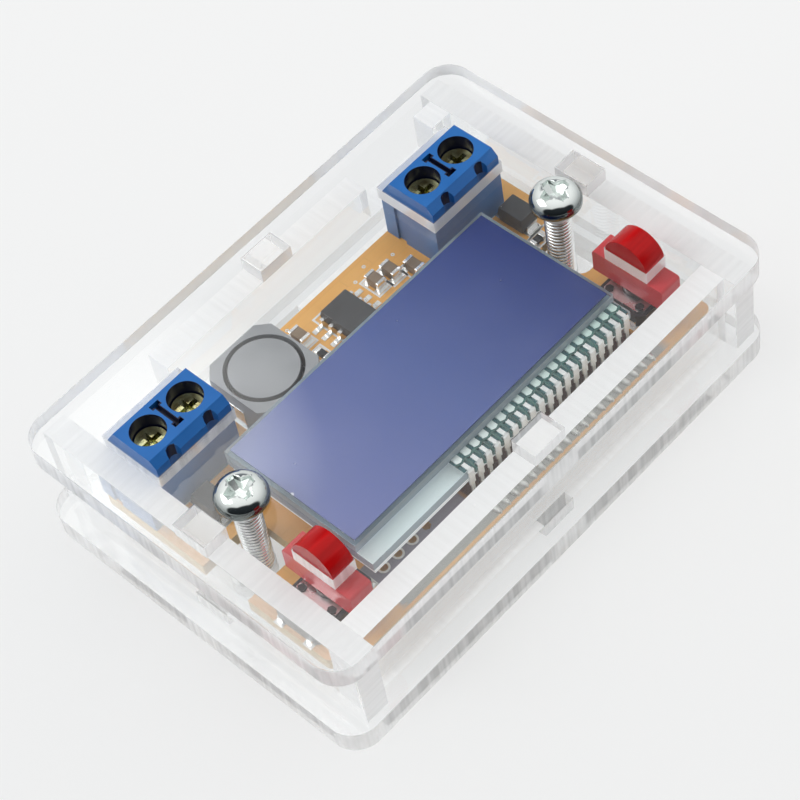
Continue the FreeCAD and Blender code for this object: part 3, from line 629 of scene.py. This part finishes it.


# clear sheets: axis, least and most frost, frost on the far sides, streaks, painted glow of the cut faces
finish = {
    "plate": clearSheet("clearPlate", (0, 0, 1), (0.58, 0.76), 0.74, 0.6, 0.09),
    "endWall": clearSheet("clearEndWall", (1, 0, 0), (0.84, 0.93), 0.0, 0.2, 0.06),
    "sideWall": clearSheet("clearSideWall", (0, 1, 0), (0.88, 0.95), 0.0, 0.2, 0.13),
    "redCap": redSheet("redCap"),
    "board": boardLaminate("boardLaminate"),
    "film": displayFilm("polariser"),
    "glass": displayGlass("displayGlass"),
    "panel": backlightPaintedGlow("backlightPaintedGlow"),
    "foam": moulded("greyFoam", (0.20, 0.21, 0.22), (0.30, 0.31, 0.32), (0.85, 0.95), 0.08 * mm),
    "glue": contactGlue("contactGlue"),
    "tin": metal("tinnedSteel", (0.86, 0.87, 0.86), (0.95, 0.95, 0.94), (0.14, 0.26)),
    "solder": metal("solder", (0.66, 0.67, 0.68), (0.86, 0.86, 0.86), (0.14, 0.34), 0.01 * mm, 700.0, 500.0),
    "blue": terminalPlastic("bluePlastic"),
    "brass": metal("yellowPlate", (0.20, 0.17, 0.07), (0.30, 0.34, 0.17), (0.14, 0.30),
                   0.006 * mm, 1500.0, 900.0),
    "driven": metal("screwPlate", (0.40, 0.33, 0.14), (0.72, 0.78, 0.48), (0.10, 0.22),
                    0.03 * mm, 1500.0, 900.0),
    "ferrite": drumFerrite("ferrite"),
    "winding": metal("copperWinding", (0.55, 0.20, 0.08), (0.70, 0.30, 0.13), (0.3, 0.45)),
    "chip": moulded("chipBody", (0.055, 0.055, 0.056), (0.075, 0.075, 0.076), (0.45, 0.6), 0.008 * mm),
    "ceramic": moulded("ceramicBody", (0.20, 0.14, 0.09), (0.30, 0.22, 0.15), (0.4, 0.55)),
    "black": moulded("blackPlastic", (0.018, 0.018, 0.02), (0.03, 0.03, 0.032), (0.32, 0.45)),
    "cover": metal("switchCover", (0.62, 0.56, 0.56), (0.74, 0.68, 0.68), (0.22, 0.34)),
    "chrome": brightZinc("brightZinc"),
    "recess": metal("zincRecess", (0.70, 0.75, 0.73), (0.86, 0.90, 0.88), (0.14, 0.24),
                    0.003 * mm, 1200.0, 500.0),
    "clip": mintTopTin("clipTin"),
    "thinGlue": moulded("thinGlue", (0.030, 0.095, 0.110), (0.055, 0.160, 0.165), (0.12, 0.26)),
    "land": metal("landTin", (0.50, 0.50, 0.46), (0.72, 0.72, 0.68), (0.22, 0.40), 0.01 * mm, 700.0, 700.0),
    "pad": metal("padTin", (0.74, 0.74, 0.72), (0.90, 0.90, 0.87), (0.30, 0.45), 0.02 * mm, 500.0, 900.0),
    "seal": moulded("displaySeal", (0.24, 0.37, 0.48), (0.30, 0.43, 0.54), (0.3, 0.5)),
    "legend": moulded("whiteLegend", (0.74, 0.74, 0.73), (0.84, 0.84, 0.83), (0.4, 0.6)),
}
print("materials ready:", len(finish))


# Dressing of the pieces that keep their own solid

def dress(name, material):
    piece = nodes[name]
    if not piece.material_slots:
        piece.data.materials.append(material)
    for slot in piece.material_slots:
        slot.material = material


def soften(name, width, segments=2):
    # slight rounding of the sharp corners, so that they catch the light
    piece = nodes[name]
    weld = piece.modifiers.new("join", "WELD")
    weld.merge_threshold = 0.0005 * mm
    bevel = piece.modifiers.new("corners", "BEVEL")
    bevel.width = width
    bevel.segments = segments
    bevel.limit_method = "ANGLE"
    bevel.angle_limit = math.radians(35)
    bevel.harden_normals = False


dressed = {
    "plate": ["bottom_plate", "top_plate"],
    "endWall": ["left_wall", "right_wall"],
    "sideWall": ["front_wall", "back_wall"],
    "board": ["circuit_board"],
    "film": ["display_front_film", "display_rear_film"],
    "glass": ["display_front_glass", "display_rear_glass"],
    "panel": ["backlight_panel"],
    "foam": ["display_foam_pads"],
    "clip": ["display_pins"],
    "tin": ["terminal_contacts", "inductor_clips", "converter_chip_leads", "controller_chip_leads",
            "small_part_ends", "diode_tabs", "left_switch_legs", "right_switch_legs"],
    "solder": ["solder_joints"],
    "blue": ["left_terminal_housing", "right_terminal_housing"],
    "driven": ["terminal_screw_%d" % n for n in (1, 2, 3, 4)],
    "brass": ["clamp_cage_%d" % n for n in (1, 2, 3, 4)],
    "ferrite": ["inductor_shell", "inductor_core"],
    "winding": ["inductor_winding"],
    "chip": ["converter_chip", "controller_chip", "diodes"],
    "ceramic": ["ceramic_capacitors"],
    "black": ["chip_resistors", "left_switch_base", "right_switch_base",
              "left_switch_plunger", "right_switch_plunger"],
    "cover": ["left_switch_cover", "right_switch_cover", "left_switch_dome", "right_switch_dome"],
    "redCap": ["left_button_cap", "right_button_cap"],
    "chrome": ["case_screws"],
}
for key, names in dressed.items():
    for name in names:
        dress(name, finish[key])
for names, width, segments in (
    (dressed["plate"] + dressed["endWall"] + dressed["sideWall"], 0.05 * mm, 2),
    (dressed["glass"], 0.06 * mm, 2),
    (dressed["blue"] + dressed["redCap"] + dressed["ferrite"] + ["converter_chip", "diodes"], 0.12 * mm, 3),
    (["display_pins", "ceramic_capacitors", "small_part_ends", "inductor_clips"], 0.05 * mm, 2),
):
    for name in names:
        soften(name, width, segments)
print("solids dressed")


# Mesh helpers

def newPiece(name, data):
    piece = bpy.data.objects.new(name, data)
    scene.collection.objects.link(piece)
    return piece


def place(name, mesh, material=None):
    if material:
        mesh.materials.append(material)
    piece = newPiece(name, mesh)
    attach(piece, "case")
    return piece


def meshFrom(bm, name, smooth=False):
    bmesh.ops.recalc_face_normals(bm, faces=bm.faces)
    mesh = bpy.data.meshes.new(name)
    bm.to_mesh(mesh)
    bm.free()
    if smooth:
        mesh.shade_smooth()
    return mesh


def mergedCopy(name):
    bm = bmesh.new()
    bm.from_mesh(nodes[name].data)
    bmesh.ops.remove_doubles(bm, verts=bm.verts, dist=1e-7)
    return bm


def evaluatedMesh(piece):
    bpy.context.view_layer.update()
    evaluated = piece.evaluated_get(bpy.context.evaluated_depsgraph_get())
    return bpy.data.meshes.new_from_object(evaluated)


def addBox(bm, x0, x1, y0, y1, z0, z1):
    corners = [bm.verts.new((x, y, z)) for z in (z0, z1) for y in (y0, y1) for x in (x0, x1)]
    for face in ((0, 2, 3, 1), (4, 5, 7, 6), (0, 1, 5, 4), (2, 6, 7, 3), (0, 4, 6, 2), (1, 3, 7, 5)):
        bm.faces.new([corners[i] for i in face])


def addBars(bm, x0, x1, y0, y1, width, z0, z1):
    # four bars round a rectangle
    for bar in ((x0, x0 + width, y0, y1), (x1 - width, x1, y0, y1),
                (x0 + width, x1 - width, y0, y0 + width), (x0 + width, x1 - width, y1 - width, y1)):
        addBox(bm, *bar, z0, z1)


def circle(bm, x, y, z, radius, sides):
    # a radius of 0 gives a single point
    if radius == 0:
        return [bm.verts.new((x, y, z))]
    angles = [2 * math.pi * step / sides for step in range(sides)]
    return [bm.verts.new((x + radius * math.cos(turn), y + radius * math.sin(turn), z)) for turn in angles]


def bridge(bm, rings):
    # faces between neighbouring rings, either of which may be a single point
    for first, second in zip(rings, rings[1:]):
        sides = max(len(first), len(second))
        for step in range(sides):
            after = (step + 1) % sides
            corners = [ring[spot % len(ring)] for ring, spot in
                       ((first, step), (first, after), (second, after), (second, step))]
            bm.faces.new(list(dict.fromkeys(corners)))


# Geometry tree helpers

def newShapeTree(name, inputs):
    return newTree(name, inputs, ["Geometry"], "GeometryNodeTree", "NodeSocketGeometry")


def finishTree(tree, result, geometry, material, smooth=True):
    realised = addNode(tree, "GeometryNodeRealizeInstances", {0: geometry}).outputs[0]
    shaded = addNode(tree, "GeometryNodeSetShadeSmooth", {0: realised, "Shade Smooth": smooth}).outputs[0]
    painted = addNode(tree, "GeometryNodeSetMaterial", {0: shaded, "Material": material}).outputs[0]
    fill(tree, result, {0: painted})


def grow(name, tree, values):
    piece = newPiece(name, bpy.data.meshes.new(name))
    shape = piece.modifiers.new("shape", "NODES")
    shape.node_group = tree
    for item in tree.interface.items_tree:
        if item.in_out == "INPUT" and item.name in values:
            shape[item.identifier] = values[item.name]
    mesh = evaluatedMesh(piece)
    piece.modifiers.remove(shape)
    piece.data = mesh
    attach(piece, "case")
    return piece


# Snap discs under the buttons: each switch dome is copied as a piece of its own, which takes the dome's place

for side in ("left", "right"):
    disc = meshFrom(mergedCopy(side + "_switch_dome"), side + "SnapDisc")
    disc.materials.clear()
    disc.materials.append(finish["cover"])
    piece = newPiece(side + "SnapDisc", disc)
    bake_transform(piece)
    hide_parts(side + "_switch_dome")
print("snap discs fitted")


# Case screws: threaded shanks and turned heads with a cross recess

screwLow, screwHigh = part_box("case_screws")
caseScrew = {
    "headRadius": 2.72 * mm,
    "headHeight": screwHigh.z - caseTop,
    "headSides": 64,
    "rimShare": 0.97,
    "rimHeight": 0.08 * mm,
    "crestRadius": 1.45 * mm,
    "rootRadius": 1.17 * mm,
    "pitch": 0.5 * mm,
    "tipLength": 0.5 * mm,
    "tipShare": 0.72,
    "sides": 36,
    "rowsPerTurn": 8,
    "crownSteps": 14,
    "crownRound": 0.62,
    "crownFoot": 0.22,
    "crownPower": 1.15,
    "recessWidth": 3.35 * mm,
    "recessArm": 1.0 * mm,
    "recessDepth": 1.2 * mm,
    "recessTurn": -8,
    # shares of the width and of the depth, from the top down
    "recessRings": ((1.08, -0.25), (0.84, 0.45), (0.36, 1)),
    "recessTip": 0.8,
    "recessCorner": (0.7, 0.75),
}
screwPlaces = [Vector((x, (screwLow.y + screwHigh.y) / 2, 0)) for x in
               (screwLow.x + caseScrew["headRadius"], screwHigh.x - caseScrew["headRadius"])]


def zincThread(name):
    # painted shade: the thread is painted dark in its grooves, and keeps bright metal on its crests
    material, tree, shader, grain = mottled(name, {"Metallic": 1.0}, zinc["scales"])
    groove = caseScrew["rootRadius"] * 0.55 + caseScrew["crestRadius"] * 0.45
    # painted shade within the groove radius
    paintedShade = greatest(tree, [near(tree, spot[:], groove) for spot in screwPlaces])
    fill(tree, shader, {
        "Base Color": mixColour(tree, paintedShade, *zinc["crestAndGrooveShade"]),
        "Roughness": remap(tree, grain["Patches"], 0, 1, 0.16, 0.26),
    })
    return material


finish["thread"] = zincThread("zincThread")


def threadTree():
    tree, given, result = newShapeTree("screwThread", {
        "Crest Radius": 0.001, "Root Radius": 0.001, "Pitch": 0.0005, "Length": 0.01, "Rows": 100,
        "Tip Length": 0.0005, "Foot": (0, 0, 0), "Second Foot": (0, 0, 0),
    })
    rod = addNode(tree, "GeometryNodeMeshCylinder", {
        "Vertices": caseScrew["sides"], "Side Segments": given["Rows"],
        "Radius": given["Crest Radius"], "Depth": given["Length"],
    })
    spot = parted(tree, addNode(tree, "GeometryNodeInputPosition").outputs[0])
    turn = calc(tree, "DIVIDE", calc(tree, "ARCTAN2", spot["Y"], spot["X"]), 2 * math.pi)
    climb = calc(tree, "DIVIDE", spot["Z"], given["Pitch"])
    wave = times(tree, calc(tree, "PINGPONG", calc(tree, "SUBTRACT", climb, turn), 0.5), 2.0)
    depth = calc(tree, "DIVIDE", given["Root Radius"], given["Crest Radius"])
    crest = addNode(tree, "ShaderNodeMapRange", {"Value": wave, "To Min": depth},
                    interpolation_type="SMOOTHSTEP").outputs["Result"]
    fromFoot = calc(tree, "ADD", spot["Z"], times(tree, given["Length"], 0.5))
    taper = remap(tree, calc(tree, "DIVIDE", fromFoot, given["Tip Length"]), 0, 1, caseScrew["tipShare"], 1)
    factor = times(tree, crest, taper)
    narrowed = joined(tree, {"X": times(tree, spot["X"], factor), "Y": times(tree, spot["Y"], factor),
                             "Z": fromFoot})
    cut = addNode(tree, "GeometryNodeSetPosition", {"Geometry": rod.outputs["Mesh"], "Position": narrowed})
    both = addNode(tree, "GeometryNodeJoinGeometry")
    for label in ("Foot", "Second Foot"):
        moved = addNode(tree, "GeometryNodeTransform",
                        {"Geometry": cut.outputs[0], "Translation": given[label]})
        fill(tree, both, {0: moved.outputs[0]})
    finishTree(tree, result, both.outputs[0], finish["thread"])
    return tree


def crossRecess(bm, centre, top):
    given = caseScrew
    rings = []
    for scale, down in given["recessRings"]:
        z = top - down * given["recessDepth"]
        reach = given["recessWidth"] / 2 * scale
        half = given["recessArm"] / 2 * (0.5 + scale / 2)
        least, growth = given["recessCorner"]
        tip, inner = half * given["recessTip"], half * (least + growth * scale)
        ring = []
        for quarter in range(4):
            angle = quarter * math.pi / 2 + math.radians(given["recessTurn"])
            for px, py in ((reach, -tip), (reach, tip), (inner, inner)):
                x = px * math.cos(angle) - py * math.sin(angle)
                y = px * math.sin(angle) + py * math.cos(angle)
                ring.append(bm.verts.new((centre.x + x, centre.y + y, z)))
        rings.append(ring)
    bridge(bm, rings)
    bm.faces.new(rings[0])
    bm.faces.new(rings[-1][::-1])


def headMesh():
    radius, height, steps = caseScrew["headRadius"], caseScrew["headHeight"], caseScrew["crownSteps"]
    foot, power = caseScrew["crownFoot"], caseScrew["crownPower"]
    bm, cutter = bmesh.new(), bmesh.new()
    for spot in screwPlaces:
        profile = [(0, caseTop), (radius * caseScrew["rimShare"], caseTop),
                   (radius, caseTop + caseScrew["rimHeight"])]
        for step in range(1, steps + 1):
            angle = step / steps * math.pi / 2
            ring = radius * math.cos(angle) ** caseScrew["crownRound"] if step < steps else 0
            profile.append((ring, caseTop + height * (foot + (1 - foot) * math.sin(angle) ** power)))
        bridge(bm, [circle(bm, spot.x, spot.y, z, ring, caseScrew["headSides"]) for ring, z in profile])
        crossRecess(cutter, spot, caseTop + height)
    head = newPiece("heads", meshFrom(bm, "heads", smooth=True))
    tool = newPiece("recess", meshFrom(cutter, "recess"))
    carve = head.modifiers.new("recess", "BOOLEAN")
    carve.object = tool
    carve.solver = "EXACT"
    mesh = evaluatedMesh(head)
    for piece in (head, tool):
        bpy.data.objects.remove(piece)
    mesh.materials.clear()
    for key in ("chrome", "recess"):
        mesh.materials.append(finish[key])
    for face in mesh.polygons:
        face.material_index = 0 if face.use_smooth else 1
    return mesh


shankLength = caseTop - screwLow.z
firstFoot, secondFoot = [(spot.x, spot.y, screwLow.z) for spot in screwPlaces]
threads = grow("caseScrewThreads", threadTree(), {
    "Crest Radius": caseScrew["crestRadius"], "Root Radius": caseScrew["rootRadius"],
    "Pitch": caseScrew["pitch"], "Length": shankLength, "Tip Length": caseScrew["tipLength"],
    "Rows": int(shankLength / caseScrew["pitch"] * caseScrew["rowsPerTurn"]),
    "Foot": firstFoot, "Second Foot": secondFoot,
})
heads = place("caseScrewHeads", headMesh())
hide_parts("case_screws")
print("case screws threaded")


# Glue over the contact clips on the display's ledge

glassLow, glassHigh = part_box("display_front_glass")
rearLow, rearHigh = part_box("display_rear_glass")
ledgeTop = rearHigh.z
pinsLow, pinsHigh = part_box("display_pins")
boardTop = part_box("circuit_board")[1].z
clip = {
    "count": 19,
    "pitch": 1.27 * mm,
    "halfWidth": 0.4 * mm,
    "waistY": pinsHigh.y - display["waistFromBack"],
    "bandHeight": 0.05 * mm,
    "bandRadius": 0.19 * mm,
    "bandSway": 0.10 * mm,
    "bandPoints": 229,
    "lobeRadius": 0.23 * mm,
    "lobeReach": 1.22 * mm,
    "lobeHeight": 0.9 * mm,
    "legY": pinsLow.y + 0.09 * mm,
    "landShift": 0.75 * mm,
    "landRadius": 0.42 * mm,
    "landHeight": 0.42 * mm,
    "landReach": 0.95 * mm,
}
clipFirst = pinsLow.x + clip["halfWidth"]
rowStart = clipFirst - clip["pitch"] / 2
rowEnd = clipFirst + (clip["count"] - 0.5) * clip["pitch"]


def clipRowTree(name, shape, material):
    # one small shape repeated along the row of clips; shape builds it at the origin
    tree, given, result = newShapeTree(name, {
        "First": (0, 0, 0), "Pitch": 0.001, "Count": 2, "Radius": 0.001, "Height": 0.001, "Reach": 0.001,
    })
    row = addNode(tree, "GeometryNodeMeshLine", {
        "Count": given["Count"], "Start Location": given["First"],
        "Offset": joined(tree, {"X": given["Pitch"]}),
    }, mode="OFFSET")
    copies = addNode(tree, "GeometryNodeInstanceOnPoints",
                     {"Points": row.outputs[0], "Instance": shape(tree, given)})
    finishTree(tree, result, copies.outputs[0], material)
    return tree


def tubeAlong(tree, path, radius):
    section = addNode(tree, "GeometryNodeCurvePrimitiveCircle", {"Resolution": 10, "Radius": radius})
    tube = {"Curve": path, "Profile Curve": section.outputs[0], "Fill Caps": True}
    return addNode(tree, "GeometryNodeCurveToMesh", tube).outputs[0]


def glueLobe(tree, given):
    # runs forward from the band and dips over the glass edge between two clips
    path = addNode(tree, "GeometryNodeCurvePrimitiveBezierSegment", {"Resolution": 10})
    for label, y, z in (("Start", 0, 0), ("Start Handle", 0.7, 0.1),
                        ("End Handle", 1.0, 0.1), ("End", 1.0, 0.8)):
        spot = {"Y": times(tree, given["Reach"], -y), "Z": times(tree, given["Height"], -z)}
        fill(tree, path, {label: joined(tree, spot)})
    return tubeAlong(tree, path.outputs[0], given["Radius"])


def glueBandTree():
    tree, given, result = newShapeTree("glueBand", {
        "First": (0, 0, 0), "Last": (0, 0, 0), "Radius": 0.001, "Sway": 0.001, "Pitch": 0.001,
    })
    path = addNode(tree, "GeometryNodeCurvePrimitiveLine", {"Start": given["First"], "End": given["Last"]})
    rows = addNode(tree, "GeometryNodeResampleCurve", {"Curve": path.outputs[0], "Count": clip["bandPoints"]})
    spot = parted(tree, addNode(tree, "GeometryNodeInputPosition").outputs[0])
    gone = calc(tree, "SUBTRACT", spot["X"], parted(tree, given["First"])["X"])
    wave = calc(tree, "COSINE", times(tree, calc(tree, "DIVIDE", gone, given["Pitch"]), 2 * math.pi))
    swayed = addNode(tree, "GeometryNodeSetPosition", {
        "Geometry": rows.outputs[0], "Offset": joined(tree, {"Y": times(tree, wave, given["Sway"])}),
    })
    finishTree(tree, result, tubeAlong(tree, swayed.outputs[0], given["Radius"]), finish["glue"])
    return tree


def solderLand(tree, given):
    ball = addNode(tree, "GeometryNodeMeshUVSphere", {"Segments": 20, "Rings": 10, "Radius": given["Radius"]})
    shares = joined(tree, {"X": 1.0, "Y": calc(tree, "DIVIDE", given["Reach"], given["Radius"]),
                           "Z": calc(tree, "DIVIDE", given["Height"], given["Radius"])})
    pressed = {"Geometry": ball.outputs["Mesh"], "Scale": shares}
    return addNode(tree, "GeometryNodeTransform", pressed).outputs[0]


def clipRow(name, tree, y, z, size, between=False):
    first = clipFirst + (clip["pitch"] / 2 if between else 0)
    sizes = {part: clip[size + part] for part in ("Radius", "Height", "Reach")}
    piece = grow(name, tree, {"First": (first, y, z), "Pitch": clip["pitch"],
                              "Count": clip["count"] - between, **sizes})


bandZ = ledgeTop + clip["bandHeight"]
band = grow("contactGlueBand", glueBandTree(), {
    "First": (rowStart, clip["waistY"], bandZ), "Last": (rowEnd, clip["waistY"], bandZ),
    "Radius": clip["bandRadius"], "Sway": clip["bandSway"], "Pitch": clip["pitch"],
})
clipRow("contactGlueLobes", clipRowTree("glueLobes", glueLobe, finish["glue"]),
        clip["waistY"], ledgeTop - 0.02 * mm, "lobe", between=True)
clipRow("pinLands", clipRowTree("pinLandRow", solderLand, finish["land"]),
        clip["legY"] - clip["landShift"], boardTop, "land")
print("contact glue laid")


# Seal between the display's glass sheets, and the thin glue on the ledge

seal = {"inset": 0.06 * mm, "width": 0.9 * mm, "below": 0.02 * mm, "above": 0.03 * mm}
sealBars = bmesh.new()
addBars(sealBars, glassLow.x + seal["inset"], glassHigh.x - seal["inset"], glassLow.y + seal["inset"],
        glassHigh.y - seal["inset"], seal["width"], glassLow.z - seal["below"], glassLow.z + seal["above"])
place("displaySeal", meshFrom(sealBars, "displaySeal"), finish["seal"])
ledge = bmesh.new()
addBox(ledge, rowStart, rowEnd, rearLow.y + 0.12 * mm, glassLow.y - 0.02 * mm,
       ledgeTop - 0.01 * mm, ledgeTop + 0.03 * mm)
place("contactGlueFilm", meshFrom(ledge, "contactGlueFilm"), finish["thinGlue"])


# Flat marks on the board: tinned pads round the feet of the parts, white outlines, small rings

def solidBoxes(name):
    # the box of each separate solid of a piece
    bm = mergedCopy(name)
    boxes = []
    waiting = set(bm.verts)
    while waiting:
        reached = [waiting.pop()]
        for vert in reached:
            for edge in vert.link_edges:
                other = edge.other_vert(vert)
                if other in waiting:
                    waiting.remove(other)
                    reached.append(other)
        spread = list(zip(*(vert.co[:] for vert in reached)))
        boxes.append((Vector(map(min, spread)), Vector(map(max, spread))))
    bm.free()
    return sorted(boxes, key=lambda box: box[0][:])


boardMarks = {
    "thickness": 0.02 * mm,
    "padMargin": 0.22 * mm,
    "leadPad": 0.55 * mm,
    "leadTuck": 0.3 * mm,
    "leadRise": 0.05 * mm,
    "lineWidth": 0.22 * mm,
    "outlineMargin": 0.5 * mm,
    "outlineReach": 0.35 * mm,
    "ringInner": 0.44 * mm,
    "ringOuter": 0.66 * mm,
    "ringRise": 0.03 * mm,
    "viaInner": 0.08 * mm,
    "viaOuter": 0.22 * mm,
    # places in mm
    "rings": ((-16.8, -12.85), (-14.8, -12.85), (-12.8, -12.85)),
    "vias": ((-1.4, 7.6), (6.6, 12.9), (8.6, 13.6), (11.6, 12.3), (12.4, 6.9), (-3.3, 7.6), (-2.2, 14.2),
             (19.8, 0.2)),
}
markTop = boardTop + boardMarks["thickness"]


def onBoard(box):
    return abs(box[0].z - boardTop) < 0.1 * mm


def padMesh(bm):
    margin, outward, tuck = boardMarks["padMargin"], boardMarks["leadPad"], boardMarks["leadTuck"]
    for name in ("small_part_ends", "diode_tabs", "left_switch_legs", "right_switch_legs", "inductor_clips"):
        for low, high in filter(onBoard, solidBoxes(name)):
            addBox(bm, low.x - margin, high.x + margin, low.y - margin, high.y + margin, boardTop, markTop)
    chipLow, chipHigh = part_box("converter_chip")
    middle = (chipLow.x + chipHigh.x) / 2
    for low, high in filter(onBoard, solidBoxes("converter_chip_leads")):
        left = low.x - (outward if high.x < middle else -tuck)
        right = high.x + (outward if low.x > middle else -tuck)
        addBox(bm, left, right, low.y - 0.08 * mm, high.y + 0.08 * mm,
               boardTop, markTop + boardMarks["leadRise"])


def outlineMesh(bm):
    margin, line = boardMarks["outlineMargin"], boardMarks["lineWidth"]
    for name in ("ceramic_capacitors", "chip_resistors", "converter_chip", "diodes"):
        for low, high in solidBoxes(name):
            if low.z > boardTop + 0.2 * mm:
                continue
            upright = high.y - low.y > high.x - low.x
            reachX = margin + (0 if upright else boardMarks["outlineReach"])
            reachY = margin + (boardMarks["outlineReach"] if upright else 0)
            addBars(bm, low.x - reachX, high.x + reachX, low.y - reachY, high.y + reachY,
                    line, boardTop, markTop)


def ringMesh(bm):
    for kind, top in (("ring", markTop + boardMarks["ringRise"]), ("via", markTop)):
        inner, outer = boardMarks[kind + "Inner"], boardMarks[kind + "Outer"]
        for x, y in boardMarks[kind + "s"]:
            edges = ((inner, boardTop), (outer, boardTop), (outer, top), (inner, top))
            loops = [circle(bm, x * mm, y * mm, z, radius, 20) for radius, z in edges]
            bridge(bm, loops + loops[:1])


for name, draw, key, slot in (("partPads", padMesh, "pad", "solder"),
                              ("partOutlines", outlineMesh, "legend", "board_laminate"),
                              ("padRings", ringMesh, "pad", "solder")):
    marks = bmesh.new()
    draw(marks)
    place(name, meshFrom(marks, name), finish[key])
print("board marked")


# Stage, light and camera

studio = {
    "floorReach": 1.5,
    "floorMottle": (6, 2),
    "floorFade": (-0.12, 0.10),
    "floorColours": ((0.905, 0.912, 0.914), (0.915, 0.92, 0.92)),
    "floorLift": 0.58,
    # painted light and shade: the floor's glow runs from this darker colour on the left to the lighter one on
    # the right
    "floorLeft": (0.835, 0.845, 0.845),
    "floorRight": (0.97, 0.97, 0.965),
    "horizon": (0.80, 0.81, 0.82),
    "zenith": (1.0, 1.0, 1.0),
    "strength": 1.04,
    "lampPower": 0.85,
    "lampSize": 0.30,
    "lampPlace": (-0.25, 0.30, 0.45),
    "lens": 116.69775,
    "cameraPlace": (-0.09525452, -0.12128782, 0.21322711),
    "cameraTurn": (36.025998, 6.905197, -47.281308),
    # darker parts of the room, and one bright one, give metal and glass something to show:
    # colour, direction, rim and core
    "patches": [
        ((0.03, 0.035, 0.04), (-0.55, -0.72, 0.42), 0.79, 0.86),
        ((0.03, 0.035, 0.04), (-0.90, -0.30, 0.34), 0.85, 0.90),
        ((0.03, 0.035, 0.04), (-0.06, -0.94, 0.34), 0.85, 0.90),
        ((0.16, 0.17, 0.19), (0.52, 0.60, 0.60), 0.93, 0.985),
        ((2.4, 2.4, 2.35), (0.285, 0.525, 0.802), 0.9978, 0.9998),
    ],
}


def makeFloor():
    bm = bmesh.new()
    reach, z = studio["floorReach"], cadBox[0][2] - 0.02 * mm
    bm.faces.new([bm.verts.new((x * reach, y * reach, z)) for x, y in ((-1, -1), (1, -1), (1, 1), (-1, 1))])
    floor = newPiece("studioFloor", meshFrom(bm, "studioFloor"))
    material, tree, shader = newMaterial("paleFloor", {"Roughness": 0.9, "Specular IOR Level": 0.1})
    soft = noise(tree, objectPlace(tree), *studio["floorMottle"])
    fill(tree, shader, {"Base Color": mixColour(tree, soft, *studio["floorColours"])})
    # seen directly, mirrored or through the sheets it is brighter, so that its shadow stays faint; its glow
    # is painted darker on the left and lighter on the right, as painted light and shade across the floor
    path = addNode(tree, "ShaderNodeLightPath").outputs
    seen = calc(tree, "MAXIMUM", path["Is Glossy Ray"], path["Is Transmission Ray"])
    seen = calc(tree, "MAXIMUM", path["Is Camera Ray"], seen)
    across = remap(tree, measure(tree, "Object", (1, 0, 0)), *studio["floorFade"])
    pale = mixColour(tree, across, studio["floorLeft"], studio["floorRight"])
    glow = addNode(tree, "ShaderNodeEmission", {"Color": pale}).outputs[0]
    show(tree, mixShaders(tree, times(tree, seen, studio["floorLift"]), shader.outputs[0], glow))
    floor.data.materials.append(material)


def makeStudio():
    world = bpy.data.worlds.new("studio")
    scene.world = world
    world.use_nodes = True
    tree = world.node_tree
    tree.nodes.clear()
    direction = addNode(tree, "ShaderNodeTexCoord").outputs["Generated"]
    height = remap(tree, parted(tree, direction)["Z"], 0.0, 0.8)
    sky = mixColour(tree, height, studio["horizon"], studio["zenith"])
    for colour, aim, rim, core in studio["patches"]:
        toward = vectorCalc(tree, "DOT_PRODUCT", direction, Vector(aim).normalized()[:])
        sky = mixColour(tree, remap(tree, toward, rim, core), sky, colour)
    light = addNode(tree, "ShaderNodeBackground", {"Color": sky, "Strength": studio["strength"]})
    addNode(tree, "ShaderNodeOutputWorld", {"Surface": light.outputs[0]})
    lamp = bpy.data.lights.new("softbox", "AREA")
    lamp.shape = "SQUARE"
    lamp.size = studio["lampSize"]
    lamp.energy = studio["lampPower"]
    holder = newPiece("softbox", lamp)
    holder.location = studio["lampPlace"]
    holder.rotation_euler = (-Vector(studio["lampPlace"])).to_track_quat("-Z", "Y").to_euler()


def makeCamera():
    lens = bpy.data.cameras.new("camera")
    lens.sensor_width = 36.0
    lens.lens = studio["lens"]
    lens.clip_start = 0.005
    camera = newPiece("camera", lens)
    camera.location = studio["cameraPlace"]
    camera.rotation_euler = [math.radians(angle) for angle in studio["cameraTurn"]]
    scene.camera = camera


makeFloor()
makeStudio()
makeCamera()
scene.view_settings.view_transform = "Standard"
print("stage ready")
